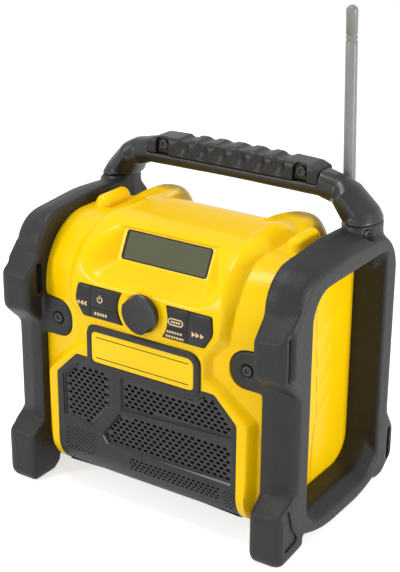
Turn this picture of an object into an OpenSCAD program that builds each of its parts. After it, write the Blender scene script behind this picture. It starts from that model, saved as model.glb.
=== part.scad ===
/* [Overall] */
// Width across the outer faces of the two side frames
frame_span = 260; // [250:1:270]
// Thickness of one side frame, across the radio
frame_t = 28.5; // [26:0.5:30]
// Front face of the side frames, ahead of the centre of the footprint
frame_front = 76; // [75:0.5:78]
// Rear face of the side frames, behind the centre of the footprint
frame_rear = 77.5; // [76:0.5:79]
// Height of the side frames' top rail
frame_top = 228.5; // [227:0.5:230]
// Ground clearance under the side frames' bottom rail
rail_clear = 3.5; // [3:0.5:6]

/* [Frame opening] */
// Front edge of the opening, at the outer rim
rim_front = 53; // [50:0.5:55]
// Rear edge of the opening, at the outer rim
rim_rear = 69; // [66:0.5:70]
// Bottom edge of the opening, at the outer rim
rim_low = 14.5; // [13:0.5:16]
// Top edge of the opening, at the outer rim
rim_high = 207.5; // [204:0.5:210]
// Width of the bevel round the opening, along X
rim_bevel = 11; // [8:0.5:12]

/* [Bumpers] */
// How far the upper front bumpers stand out of the frame
bumper_out = 14.5; // [13:0.5:16]
// How far the front feet stand out of the frame
foot_out = 14.5; // [13:0.5:16]
// How far the rear feet stand out of the frame
rear_foot_out = 12.5; // [11:0.5:14]
// Rounding of the outer edges of bumpers and front feet
bumper_round = 6.5; // [5:0.5:8]

/* [Housing] */
// Front face of the raised middle of the housing
front_y = 79.5; // [79:0.1:80]
// Front face of the housing beside the raised middle
side_front_y = 73; // [72:0.5:74]
// How far that face falls back where it meets the frames
side_fall = 5; // [4:0.5:6]
// Rear face of the housing
rear_y = 62; // [61.5:0.1:62.5]
// Underside of the housing
floor_z = 14; // [13:0.5:15]
// Top of the middle of the housing
top_z = 226; // [225:0.5:227]
// Top of the housing beside the frames
side_top_z = 218.5; // [217:0.5:220]
// Wall of the housing
wall = 3; // [2.6:0.1:3.4]
// Where the front and rear housings meet
split_y = 2; // [1:0.5:3]

/* [Front panel] */
// Height of the knob's axis
knob_z = 171; // [170:0.5:172]
// Radius of the knob
knob_r = 16; // [15:0.1:16.5]
// Depth of the knob, from the panel
knob_l = 5; // [4:0.5:7]
// Radius of the ring of housing left between the knob and the key pads
pad_ring_r = 23; // [22:0.5:24]
// Bottom edge of the key pads
pad_low = 156.7; // [156:0.1:158]
// Top edge of the key pads
pad_high = 181.5; // [180:0.1:182]
// Travel of a key
key_travel = 1.2; // [0.8:0.1:1.4]
// Width of the display window
lcd_w = 78; // [74:0.5:80]
// Height of the display window
lcd_h = 22.9; // [21:0.1:24]
// Lean of the display window, from upright
lcd_lean = 25.7; // [24:0.1:27]

/* [Grille] */
// Distance from a side frame to the speaker grille
grille_edge = 18; // [16.5:0.5:20]
// Top edge of the speaker grille
grille_top = 122; // [121:0.5:123]
// Thickness of the grille
grille_t = 3; // [2.6:0.1:3.2]
// Radius of a speaker's opening
speaker_r = 28.5; // [27:0.5:29]
// Speaker centres, each side of the middle
speaker_x = 42; // [40:0.5:43]
// Height of the speakers' axes
speaker_z = 75.5; // [75:0.5:77]

/* [Handle] */
// Centre line of the handle, behind the centre of the footprint
handle_y = 48; // [47:0.5:49]
// Underside of the handle bar, at its ends
bar_low = 244.2; // [243.6:0.2:245]
// How much higher the underside is in the middle
bar_rise = 2.4; // [1.6:0.2:3]
// Top of the grip, in the middle
grip_top = 271.6; // [271:0.2:272.6]
// How much lower the top of the grip is at its ends
grip_drop = 3.6; // [2.8:0.2:4]
// Line where the grip meets the bar
grip_line = 254; // [253:0.5:256]
// Width of the bar, front to back
bar_w = 25; // [24:0.5:26]
// Half length of the grip
grip_half = 79; // [77:0.5:80]
// Distance between the finger grooves
groove_pitch = 17.6; // [17:0.1:18]

/* [Antenna] */
// Antenna pivot, inward of the right side frame
antenna_in = 11.5; // [11.5:0.5:13]
// Antenna pivot, behind the centre of the footprint
antenna_y = 70; // [69.5:0.5:71]
// Height of the antenna pivot
antenna_z = 205; // [203:0.5:207]
// Length of the antenna, from its pivot
antenna_l = 180; // [170:1:185]
// Radius of the antenna at its foot
antenna_r = 4.9; // [4.5:0.1:5.2]
// Lean of the antenna towards the middle
antenna_lean = 1.9; // [0:0.1:3]

/* [Battery bay] */
// Half width of the battery bay
bay_half = 36; // [35:0.5:36.5]
// Floor of the battery bay
bay_low = 66; // [64:1:70]
// Top of the battery bay
bay_high = 196; // [190:1:198]
// Back wall of the battery bay
bay_y = 36; // [34:0.5:38]

/* [Hidden] */
$fn = 48;

black = "#3a3a3b";
yellow = "#ffd100";
inner_x = frame_span / 2 - frame_t;
outer_x = frame_span / 2;
raised_half = inner_x - 10.5;
grille_half = inner_x - grille_edge;
antenna_x = inner_x - antenna_in;
eps = 0.2;
fit = 0.25;
key_gap = 0.35;
badge_half = 47;
badge_low = 120.5;
badge_high = 146;
badge_top = 150.5;
lcd_t = 2.2;
lcd_wall = 4.5;
bush_r = 4.5;
arc_steps = 9;

// ---- shared drawing helpers ----

function xy(p) = [p[0], p[1]];
function unit(v) = v / norm(v);

// points of a corner at b, rounded with radius r, between its neighbours a and c
function corner(a, b, c, r) =
    let (u = unit(a - b), w = unit(c - b), half = acos(u * w) / 2,
         mid = b + unit(u + w) * r / sin(half),
         p = b + u * r / tan(half) - mid, q = b + w * r / tan(half) - mid,
         start = atan2(p[1], p[0]), turn = (atan2(q[1], q[0]) - start + 540) % 360 - 180)
    [for (i = [0:arc_steps]) let (a = start + turn * i / arc_steps) mid + r * [cos(a), sin(a)]];

// outline through corners given as [x, y, radius]
function outline(c) = let (n = len(c))
    [for (i = [0:n - 1]) each c[i][2] > 0
        ? corner(xy(c[(i + n - 1) % n]), xy(c[i]), xy(c[(i + 1) % n]), c[i][2]) : [xy(c[i])]];

// a side view, drawn as [y, z], given thickness from x0 to x1
module side_view(x0, x1) translate([x0, 0, 0]) rotate([90, 0, 90]) linear_extrude(x1 - x0) children();

// a front view, drawn as [x, z], given depth from y0 to y1
module front_view(y0, y1) translate([0, y1, 0]) rotate([90, 0, 0]) linear_extrude(y1 - y0) children();

module both_sides() {
    children();
    mirror([1, 0, 0]) children();
}

module y_cylinder(y0, y1, r, x = 0, z = 0) translate([x, y1, z]) rotate([90, 0, 0])
    cylinder(r = r, h = y1 - y0);

// ---- side frames ----

// front and top lie d inside the outline, rear and bottom e inside it
module ring_profile(d, e) polygon(outline([
    [-frame_front + d, rail_clear + 15 + e, 24 - d], [-27, rail_clear + e, 110],
    [38, rail_clear + e, 110], [frame_rear - e, rail_clear + 12 + e, 20 - e],
    [frame_rear - e, frame_top - 4 - d, 40 - d], [0, frame_top - d, 150],
    [-frame_front + d, frame_top - 6 - d, 31 - d]]));

// opening, d inside its rim
rim_step = 9;
module opening_profile(d) polygon(outline([
    [-rim_front, rim_low + d, 24], [-rim_front, rim_high - 1.5 - d, 24],
    [rim_rear - d, rim_high - 0.5 - d, 15], [rim_rear - d, rim_low + d, 38 - 1.6 * d]]));

// the ring is flat across its inner third, then falls away in two bevels to its outer face
module ring() difference() {
    hull() {
        side_view(inner_x, inner_x + 10) ring_profile(0, 0);
        side_view(inner_x, outer_x - 4) ring_profile(4, 0);
        side_view(inner_x, outer_x) ring_profile(8.5, 1.2);
    }
    side_view(inner_x - 1, outer_x - rim_bevel + 1) opening_profile(rim_step);
    hull() {
        side_view(outer_x - rim_bevel, outer_x - rim_bevel + eps) opening_profile(rim_step);
        side_view(outer_x + eps, outer_x + 2 * eps) opening_profile(0);
    }
}

// soft corners of a block whose face lies at y_face: at its outer edge and at its inner edge,
// between two heights
inner_round = 3.5;
module soft_corners(y_face, z0, z1, r, towards) for (z = [z0, z1]) {
    translate([outer_x - r, y_face + towards * r, z]) sphere(r, $fn = 24);
    translate([inner_x + inner_round, y_face + towards * inner_round, z]) sphere(inner_round, $fn = 16);
}

// shallow pocket in the outer side, drawn as [y, z]
module side_pocket(points, depth) side_view(outer_x - depth, outer_x + 1) polygon(outline(points));

module upper_bumper() {
    front = -frame_front - bumper_out;
    difference() {
        hull() {
            translate([inner_x, -frame_front + 6, 132]) cube([frame_t, 1, 67]);
            soft_corners(front, 153, 177, bumper_round, 1);
        }
        side_pocket([[front + 6, 150, 2], [front + 10.8, 150, 2],
            [front + 10.8, 187, 2], [front + 6, 187, 2]], 3);
        side_view(inner_x - 1, inner_x + 3) polygon(outline([[front + 12.5, 162, 2], [front + 18, 162, 2],
            [front + 18, 187, 2], [front + 12.5, 187, 2]]));
    }
}

module front_foot() {
    front = -frame_front - foot_out;
    difference() {
        hull() {
            translate([inner_x, -frame_front + 6, 7]) cube([frame_t, 1, 47]);
            translate([inner_x, -58, 7]) cube([frame_t, 1, 30]);
            soft_corners(front, bumper_round, 39, bumper_round, 1);
            translate([inner_x + 2, front + 3, 0]) cube([frame_t - 9, 25, 1]);
        }
        side_pocket([[front + 6.8, 12, 2], [front + 26, 15, 1], [front + 17, 27, 6], [front + 11.5, 44, 2],
            [front + 6.8, 46, 2]], 1.8);
    }
}

module rear_foot() {
    rear = frame_rear + rear_foot_out;
    difference() {
        hull() {
            translate([inner_x, 60, 8.6]) cube([frame_t, 10, 20]);
            translate([inner_x, 70, 8.6]) cube([frame_t, 1, 63]);
            soft_corners(rear, 20, 43, 4, -1);
            translate([inner_x + 6, rear - 24, 0]) cube([11.5, 19, 1]);
        }
        side_pocket([[rear - 10, 15, 1.5], [rear - 6.5, 17, 1.5],
            [rear - 6.5, 46, 1.5], [rear - 10, 46, 1.5]], 2.5);
    }
}

lug_x = inner_x - 14.5;
lug_z = 144;
lug_end = inner_x - 29;
lug_half = 15.3;
lug_front = 73;
lug_t = 8;
module lug_profile(d) polygon(outline([[inner_x + 2, lug_z - lug_half - d, 0],
    [lug_end - d, lug_z - lug_half - d, 14],
    [lug_end - d, lug_z + lug_half + d, 14], [inner_x + 2, lug_z + lug_half + d, 0]]));

// oval seat of the handle's foot, on top of the frame
boss_z = 230.2;
boss_x = outer_x - 16.25;
boss_y = 49;
boss_w = 25.5;
boss_l = 42;
bolt_x = outer_x - 6;
bolt_y = 36;
bolt_z = 223.5;
function oval(w, l) = [for (a = [0:15:345]) [w / 2 * cos(a), l / 2 * sin(a)]];
module handle_boss() translate([boss_x, boss_y, 205]) linear_extrude(boss_z - 205)
    polygon(oval(boss_w, boss_l));

module side_frame() difference() {
    union() {
        ring();
        upper_bumper();
        front_foot();
        rear_foot();
        front_view(-lug_front, -lug_front + lug_t) lug_profile(0);
        handle_boss();
    }
    y_cylinder(-lug_front - 1, -lug_front + lug_t + 1, 2.2, lug_x, lug_z);
    y_cylinder(-lug_front - 1, -lug_front + 3, 5.6, lug_x, lug_z);
    translate([bolt_x - 2, bolt_y, bolt_z]) rotate([0, 90, 0]) cylinder(r = 4.4, h = 12);
}

module frame_right() color(black) side_frame();
module frame_left() color(black) mirror([1, 0, 0]) side_frame();

// ---- housing ----

module middle_profile(d) polygon(outline([
    [-front_y + d, floor_z + d, 30 - d], [-front_y + d, top_z - d, 59 - d],
    [rear_y - d, top_z - d, 50 - d], [rear_y - d, floor_z + d, 20 - d]]));

module end_profile(d) polygon(outline([
    [-side_front_y + d, floor_z + 1 + d, 28 - d], [-side_front_y + d, side_top_z - d, 52 - d],
    [rear_y - 0.5 - d, side_top_z - d, 50 - d], [rear_y - 0.5 - d, floor_z + 1 + d, 20 - d]]));

// plan of the housing from frame to frame: its front falls back towards the frames
module plan(d) translate([0, 0, -1]) linear_extrude(300) polygon([[-inner_x, 100],
    [-inner_x, -side_front_y + side_fall + d],
    [-70, -side_front_y + d], [70, -side_front_y + d], [inner_x, -side_front_y + side_fall + d],
    [inner_x, 100]]);

module end_shape(d, x) intersection() {
    side_view(-x, x) end_profile(d);
    plan(d);
}

// front view of the raised middle: wide round the grille, waisted beside the badge, wide at the console
waist = 54.5;
console_half = 70;
module raised_profile(d) polygon(outline([
    [3 - raised_half + d, floor_z - 2, 0], [raised_half - 3 - d, floor_z - 2, 0],
    [raised_half - d, 45, 12],
    [raised_half - d, 100, 10], [waist + 11.5 - d, badge_low + 6.5, 8], [waist - d, badge_low + 9.5, 6],
    [waist - d, badge_top - 2.5, 6], [console_half - 2.5 - d, badge_top + 7.5, 6],
    [console_half - d, 200, 20],
    [console_half - 6 - d, top_z + 4, 0], [6 - console_half + d, top_z + 4, 0],
    [-console_half + d, 200, 20],
    [2.5 - console_half + d, badge_top + 7.5, 6], [-waist + d, badge_top - 2.5, 6],
    [-waist + d, badge_low + 9.5, 6],
    [-waist - 11.5 + d, badge_low + 6.5, 8], [-raised_half + d, 100, 10], [-raised_half + d, 45, 12]]));

top_lug_x = inner_x - 13.5;
top_lug_r = 8;
module top_lug() {
    translate([top_lug_x, -13, side_top_z + 2]) rotate([-90, 0, 0]) cylinder(r = top_lug_r, h = 31);
    translate([top_lug_x, -13, side_top_z + 2]) sphere(top_lug_r);
    translate([top_lug_x, 18, side_top_z + 2]) sphere(top_lug_r);
}

// rounded shoulder beside the battery bay
shoulder_top = 225.8;
shoulder_in = 44.5;
shoulder_out = 81;
module shoulder() intersection() {
    front_view(10, rear_y) polygon(outline([[shoulder_in, 120, 0], [shoulder_in, shoulder_top, 16],
        [shoulder_out, shoulder_top, 19], [shoulder_out, 120, 0]]));
    side_view(shoulder_in, shoulder_out) polygon(outline([[0, 110, 0], [0, 212, 0],
        [42, shoulder_top, 20], [rear_y, shoulder_top, 14],
        [rear_y, 110, 0]]));
}

module body_shape() {
    end_shape(0, inner_x);
    intersection() {
        side_view(-inner_x, inner_x) middle_profile(0);
        front_view(-front_y - 1, rear_y + 1) raised_profile(0);
    }
    both_sides() top_lug();
    both_sides() shoulder();
}

// hollow of the housing; its wall lies deeper behind the grille and the badge
module cavity() difference() {
    union() {
        end_shape(wall, inner_x - wall);
        intersection() {
            side_view(-inner_x, inner_x) middle_profile(wall + grille_t);
            front_view(-front_y, 40) raised_profile(wall);
        }
        intersection() {
            side_view(-inner_x, inner_x) middle_profile(wall);
            front_view(-front_y, 40) raised_profile(wall);
            translate([-100, -100, badge_top + wall]) cube([200, 200, 100]);
        }
    }
    both_sides() front_view(-front_y, -lug_front + lug_t + wall) lug_profile(wall);
    lcd_scoop(lcd_wall);
    rear_screw_places() y_cylinder(-front_y, rear_y, post_r);
    both_sides() for (x = [22, 56]) y_cylinder(-front_y, key_board_y, 2.5, x, board_low + 2);
}

// display frame of reference: origin at the window's centre, -Y out of the glass
lcd_y = -48.35;
lcd_z = 208.3;
module at_lcd() translate([0, lcd_y, lcd_z]) rotate([-lcd_lean, 0, 0]) children();

module lcd_block(w, h, y0, y1) translate([-w / 2, y0, -h / 2]) cube([w, y1 - y0, h]);

// soft-cornered pocket that flares out from the display window, grown by d
scoop_depth = 16;
module scoop_layer(y, x, z0, z1, r) translate([0, y + eps, 0]) rotate([90, 0, 0]) linear_extrude(eps)
    polygon(outline([[-x, z0, r], [x, z0, r], [x, z1, r], [-x, z1, r]]));
module lcd_scoop(d) at_lcd() hull() {
    scoop_layer(d, lcd_w / 2 + 1.5 + d, -lcd_h / 2 - 1 - d, lcd_h / 2 + 1 + d, 3);
    scoop_layer(-scoop_depth, 60 + d, -31.5 - d, 14 + d, 16);
}

module pad_profile(d) difference() {
    polygon(outline([[-18 - d, pad_low + d, 0], [-18 - d, pad_high - d, 0],
        [-60.7 + d, pad_high - d, 2.5],
        [-62.3 + d, 171, 6], [-61.5 + d, 167, 6], [-55 + d, pad_low + d, 4]]));
    translate([0, knob_z]) circle(pad_ring_r + d);
}

module grille_profile(d) polygon(outline([
    [-grille_half + d, floor_z - 3, 0], [grille_half - d, floor_z - 3, 0],
    [grille_half - d, grille_top - 20, 5],
    [grille_half - 20, grille_top - d, 5], [badge_half + 5 - d, grille_top - d, 0],
    [badge_half + 5 - d, badge_top - d, 9],
    [-badge_half - 5 + d, badge_top - d, 6], [-badge_half - 5 + d, grille_top - d, 0],
    [20 - grille_half, grille_top - d, 5], [-grille_half + d, grille_top - 20, 5]]));

// layer between two depths below the raised middle's surface
module surface_layer(d0, d1) difference() {
    side_view(-inner_x, inner_x) middle_profile(d0);
    side_view(-inner_x - 1, inner_x + 1) middle_profile(d1);
}

module grille_zone(d) intersection() {
    front_view(-front_y - 1, -20) grille_profile(d);
    surface_layer(-1, grille_t);
}

board_y = 26;
board_t = 1.6;
board_half = 50;
board_post_x = 31;
board_post_z = [84, 128];
post_r = 6;
rear_screw_x = inner_x - 21.5;
rear_screw_z = [37, 150];
module rear_screw_places() both_sides() for (z = rear_screw_z) translate([rear_screw_x, 0, z]) children();

module front_housing() color(yellow) difference() {
    intersection() {
        body_shape();
        translate([-150, -150, 0]) cube([300, 150 + split_y, 300]);
    }
    cavity();
    lcd_scoop(0);
    at_lcd() lcd_block(lcd_w + 0.6, lcd_h + 0.6, -1, lcd_t);
    at_lcd() lcd_block(lcd_w - 6, lcd_h - 4, 0, lcd_wall + 5);
    grille_zone(-fit);
    both_sides() front_view(-front_y - 1, -front_y + 12) pad_profile(-fit);
    y_cylinder(-front_y - 1, -front_y + 12, bush_r + fit, 0, knob_z);
    both_sides() y_cylinder(-front_y - 1, -front_y + 20, speaker_r, speaker_x, speaker_z);
    both_sides() front_view(-front_y - 1, -lug_front + lug_t) lug_profile(fit);
    both_sides() y_cylinder(-lug_front, -50, 2, lug_x, lug_z);
}

module bay() translate([-bay_half, bay_y, bay_low]) cube([2 * bay_half, 60, bay_high - bay_low]);

jack_x = 38.5 - inner_x;
jack_z = 60;
jack_w = 44;
jack_h = 24;
module jack_block(d, y0, y1) translate([jack_x - jack_w / 2 + d, y0, jack_z - jack_h / 2 + d])
    cube([jack_w - 2 * d, y1 - y0, jack_h - 2 * d]);

module rear_housing() color(yellow) difference() {
    union() {
        difference() {
            intersection() {
                body_shape();
                translate([-150, split_y, 0]) cube([300, 150, 300]);
            }
            cavity();
        }
        intersection() {
            translate([-bay_half - wall, bay_y - wall, bay_low - wall])
                cube([2 * (bay_half + wall), 60, bay_high - bay_low + 2 * wall]);
            side_view(-60, 60) middle_profile(1);
        }
        both_sides() for (z = board_post_z) y_cylinder(board_y, bay_y - wall + 1, 3, board_post_x, z);
    }
    bay();
    jack_block(-fit, rear_y - 10, rear_y + 5);
    rear_screw_places() y_cylinder(rear_y - 8, rear_y + 1, 4.2);
}

// ---- grille and badge ----

slot_w = 3.9;
slot_h = 1.8;
slot_x = 6.1;
slot_z = 3.6;
module sound_slots() for (row = [0:17], i = [-13:13])
    translate([i * slot_x + (row % 2) * slot_x / 2 - slot_w / 2, cell_low + 1 + row * slot_z])
        square([slot_w, slot_h]);

rib_x = -27;
rib_half = 6;
rib_z = 82;
cell_low = 52.5;
cell_edge = grille_half - 4.5;
module cell_upper_left(d) polygon([[1 - cell_edge + d, rib_z - 16 + d], [rib_x - 21 - d, rib_z - 16 + d],
    [rib_x - rib_half - d, rib_z - 2], [rib_x - rib_half - d, badge_low - 7.5 - d],
    [13 - cell_edge, badge_low - 7.5 - d],
    [1 - cell_edge + d, badge_low - 19.5]]);
module cell_upper_right(d) polygon([[rib_x + rib_half + d, rib_z + 3 + d], [cell_edge - d, rib_z + 8 + d],
    [cell_edge - d, badge_low - 22.5], [cell_edge - 17, badge_low - 6 - d],
    [rib_x + rib_half + d, badge_low - 8.5 - d]]);
module cell_lower_right(d) polygon([[rib_x + 4, rib_z - 3 - d], [cell_edge - d, rib_z - 0.5 - d],
    [cell_edge - d, cell_low + d], [rib_x - rib_half, cell_low + d], [rib_x - 11.5 + d, cell_low + 7.5]]);
module cells(d) {
    cell_upper_left(d);
    cell_upper_right(d);
    cell_lower_right(d);
}

cell_depth = 1;

// raised rim round the badge
rim_t = 2.4;
skid_t = 2.2;
module badge_rim() hull() {
    front_view(-front_y - rim_t, -front_y - rim_t + 0.2) badge_profile(4);
    front_view(-front_y - rim_t + 1, -front_y) badge_profile(5);
}

module grille() color(black) difference() {
    union() {
        intersection() {
            front_view(-front_y - 1, -20) grille_profile(0);
            surface_layer(0, grille_t);
        }
        badge_rim();
        both_sides() intersection() {
            surface_layer(-skid_t, eps);
            translate([50, -72, 0]) cube([32, 44, floor_z + 6]);
        }
    }
    front_view(-front_y - rim_t - 1, -front_y) badge_profile(0.3);
    front_view(-front_y - 1, -front_y + cell_depth) cells(0);
    front_view(-front_y - 1, -front_y + 8) intersection() {
        sound_slots();
        cells(2.2);
    }
}

badge_t = 2.2;
module badge_profile(g) polygon(outline([[-badge_half - g, badge_low - g, 4 + g],
    [-badge_half - g, badge_high + g, 4 + g],
    [badge_half + g, badge_high + g, 6 + g], [badge_half + g, badge_low - g, 4 + g]]));
module badge_plate() color(yellow) front_view(-front_y - badge_t, -front_y) badge_profile(0);

// ---- display ----

module lcd_window() color("#55584a") at_lcd() lcd_block(lcd_w, lcd_h, -1, lcd_t);

module display_module() color("#2e5a38") at_lcd() {
    lcd_block(lcd_w - 6.6, lcd_h - 4.6, lcd_t + 0.3, lcd_wall + eps);
    lcd_block(lcd_w + 6, lcd_h + 6, lcd_wall + eps, lcd_wall + 2.5);
}

// ---- keys ----

key_t = 3;
key_out = 1.3;
split_x = 48;
split_z = 165.8;
split_right = 41;
module key_blank() intersection() {
    front_view(-front_y - key_out - 1, -front_y + 6) intersection() {
        pad_profile(key_gap / 2);
        children();
    }
    surface_layer(-key_out, key_t - key_out);
}
module stem(x, z) y_cylinder(-front_y - key_out + key_t - 0.5, key_board_y - key_travel - 0.3, 2, x, z);
module key_area(x0, x1, z0, z1) translate([x0 + key_gap / 2, z0 + key_gap / 2])
    square([x1 - x0 - key_gap, z1 - z0 - key_gap]);

key_board_y = -front_y + 6;
board_low = pad_low - 0.2;
module key_rewind() color(black) {
    key_blank() key_area(-70, -split_x, 150, 190);
    stem(-54.5, 170);
}
module key_power() color(black) {
    key_blank() key_area(-split_x, -10, split_z, 190);
    stem(-36, 173.5);
}
module key_menu() color(black) {
    key_blank() key_area(-split_x, -10, 150, split_z);
    stem(-36, 161);
}
module right_key_blank() mirror([1, 0, 0]) key_blank() mirror([1, 0]) children();
module key_mode() color(black) {
    right_key_blank() key_area(10, split_right, split_z, 190);
    stem(32, 173.5);
}
module key_enter() color(black) {
    right_key_blank() key_area(10, split_right, 150, split_z);
    stem(32, 161);
}
module key_forward() color(black) {
    right_key_blank() key_area(split_right, 70, 150, 190);
    stem(51, 170);
}

module key_board() translate([-60, key_board_y, board_low])
    cube([42, board_t, pad_high + 1.5 - board_low]);
module key_board_left() color("#2e5a38") key_board();
module key_board_right() color("#2e5a38") mirror([1, 0, 0]) key_board();

// ---- knob and encoder ----

shaft_r = 3;
shaft_run = 0.05;
knob_flat = 12;
knob_turned = 35;
module knob() color(black) difference() {
    translate([0, -front_y - 0.4, knob_z]) rotate([90, 0, 0]) rotate_extrude($fn = 64)
        polygon([[0, 0], [knob_r, 0], [knob_r, 2], [knob_r - 0.6, knob_l - 0.8], [knob_r - 1.4, knob_l],
            [knob_r - 3, knob_l - 0.6], [0, knob_l - 1.2]]);
    y_cylinder(-front_y - knob_l + 2, -front_y + 1, shaft_r, 0, knob_z);
    for (side = [0, 180]) translate([0, 0, knob_z]) rotate([0, knob_turned + side, 0])
        translate([-knob_r, -front_y - knob_l - 1, knob_flat]) cube([2 * knob_r, knob_l - 0.6, knob_r]);
}

module encoder_shaft() color("silver") y_cylinder(-front_y - knob_l + 2, -front_y + 16, shaft_r, 0, knob_z);

module encoder_body() color("dimgray") difference() {
    union() {
        y_cylinder(-front_y + 0.2, -front_y + 8, bush_r, 0, knob_z);
        y_cylinder(-front_y + wall + 1.2, -front_y + wall + 3, 6.5, 0, knob_z);
        translate([-7, -front_y + 8, knob_z - 7]) cube([14, 10, 14]);
    }
    y_cylinder(-front_y - 1, -front_y + 17, shaft_r + shaft_run, 0, knob_z);
}

// ---- handle ----

// oval section of the handle's leg, square to its path
module leg_section(x, y, z, turn, t, w) translate([x, y, z]) rotate([0, turn, 0])
    linear_extrude(eps) polygon(oval(t, w));

// side view and front view of the bar and grip together
module bar_profile() polygon(outline([
    [handle_y - bar_w / 2, bar_low, 7], [handle_y - bar_w / 2, grip_top, 9],
    [handle_y + bar_w / 2, grip_top, 9], [handle_y + bar_w / 2, bar_low, 7]]));

module bar_front() polygon(outline([
    [-grip_half, bar_low, 0], [0, bar_low + bar_rise, 1500], [grip_half, bar_low, 0],
    [grip_half, grip_top - grip_drop - 4, 4], [grip_half - 8, grip_top - grip_drop, 10],
    [0, grip_top, 1000],
    [8 - grip_half, grip_top - grip_drop, 10], [-grip_half, grip_top - grip_drop - 4, 4]]));

module bar_and_grip() intersection() {
    side_view(-grip_half, grip_half) bar_profile();
    front_view(handle_y - bar_w, handle_y + bar_w) bar_front();
}

module leg() {
    hull() {
        side_view(grip_half - 1, grip_half - 0.6) polygon(outline([
            [handle_y - bar_w / 2, bar_low, 7], [handle_y - bar_w / 2, bar_low + 20, 8],
            [handle_y + bar_w / 2, bar_low + 20, 8], [handle_y + bar_w / 2, bar_low, 7]]));
        leg_section(boss_x - 21.35, handle_y, boss_z + 20, 113, 23.5, 24.5);
    }
    hull() {
        leg_section(boss_x - 21.35, handle_y, boss_z + 20, 113, 23.5, 24.5);
        leg_section(boss_x - 15.35, handle_y - 0.7, boss_z + 18.3, 136, 22, 34.5);
    }
    hull() {
        leg_section(boss_x - 15.35, handle_y - 0.7, boss_z + 18.3, 136, 22, 34.5);
        leg_section(boss_x - 4.15, handle_y + 2, boss_z + 3.9, 158, 28, 37.6);
    }
    hull() {
        leg_section(boss_x - 4.15, handle_y + 2, boss_z + 3.9, 158, 28, 37.6);
        leg_section(boss_x, boss_y, boss_z, 0, boss_w, boss_l);
    }
}

grip_screw_x = 63.5;
grip_screw_z = 261.5;
module handle_bar() color(black) {
    intersection() {
        bar_and_grip();
        translate([-100, 0, bar_low - 5]) cube([200, 100, grip_line - bar_low + 5]);
    }
    both_sides() difference() {
        leg();
        translate([grip_half - 10, 0, bar_low - 20]) cube([10 - 0.3, 100, 60]);
        translate([boss_x - 30, 0, boss_z - 30]) cube([60, 100, 30]);
    }
}

// height of the grip's crown at x
function crown(x) = grip_top - grip_drop * pow(x / (grip_half - 8), 2);
groove_r = 9;
groove_out = 6;
module finger_groove(x) translate([x, 0, 0]) {
    y_cylinder(handle_y - 20, handle_y + 20, groove_r, 0, crown(x) + groove_out);
    for (y = [handle_y - bar_w / 2 - groove_out, handle_y + bar_w / 2 + groove_out])
        translate([0, y, grip_line + 1]) rotate_extrude() polygon([[0, 0], [groove_r - 4, 0],
            [groove_r - 1.2, 2.6], [groove_r, 7], [groove_r, 26], [0, 26]]);
}

// recess round a grip screw, open towards the bar
module grip_recess() front_view(handle_y - bar_w / 2 - 1, handle_y - bar_w / 2 + 4.5) polygon(outline([
    [grip_screw_x - 6, grip_line - 1, 0], [grip_screw_x - 6, grip_screw_z + 7.5, 5.5],
    [grip_screw_x + 6, grip_screw_z + 7.5, 5.5], [grip_screw_x + 6, grip_line - 1, 0]]));

module handle_grip() color("#333334") difference() {
    intersection() {
        bar_and_grip();
        translate([-grip_half + 0.4, 0, grip_line]) cube([2 * grip_half - 0.8, 100, 40]);
    }
    for (i = [-2.5:1:2.5]) finger_groove(i * groove_pitch);
    both_sides() grip_recess();
    both_sides() y_cylinder(handle_y - bar_w / 2 - 1, handle_y + 6, 1.9, grip_screw_x, grip_screw_z);
}

// ---- fasteners ----

// pan-head screw along +Y, with its head's top at y = 0
module screw(head_r, head_h, r, l) difference() {
    union() {
        y_cylinder(0, head_h, head_r);
        y_cylinder(0, l, r);
    }
    y_cylinder(-1, 1.4, head_r * 0.45);
}

module grip_screws() color("dimgray") both_sides()
    translate([grip_screw_x, handle_y - bar_w / 2 + 2.3, grip_screw_z]) screw(4.2, 2.2, 1.9, 16.2);

module lug_screws() color("dimgray") both_sides()
    translate([lug_x, -lug_front + 0.8, lug_z]) screw(4, 2.2, 2, 18);

module handle_bolts() color("dimgray") both_sides()
    translate([bolt_x, bolt_y, bolt_z]) rotate([0, 0, 90]) screw(3.6, 2, 2, 2);

module housing_screws() color("dimgray") rear_screw_places()
    translate([0, rear_y - 5.8, 0]) rotate([180, 0, 0]) screw(3.6, 2.2, 1.5, 2.2);

// ---- antenna ----

pivot_r = 3;
knuckle_r = 7.5;
module antenna_base() color(black) difference() {
    union() {
        y_cylinder(antenna_y - 10, antenna_y - 6, 8.5, antenna_x, antenna_z);
        side_view(antenna_x - 8.5, antenna_x + 8.5) polygon([[antenna_y - 18, antenna_z - 20],
            [antenna_y - 6, antenna_z - 20],
            [antenna_y - 6, antenna_z], [antenna_y - 22, antenna_z]]);
    }
    intersection() {
        translate([antenna_x - 30, antenna_y - 50, antenna_z - 55]) cube([60, 60, 80]);
        body_shape();
    }
    y_cylinder(antenna_y - 12, antenna_y, pivot_r, antenna_x, antenna_z);
}

module antenna_pin() color("silver") {
    y_cylinder(antenna_y - 9, antenna_y + 6, pivot_r, antenna_x, antenna_z);
    y_cylinder(antenna_y + 6, antenna_y + 7.5, 5, antenna_x, antenna_z);
}

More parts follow.
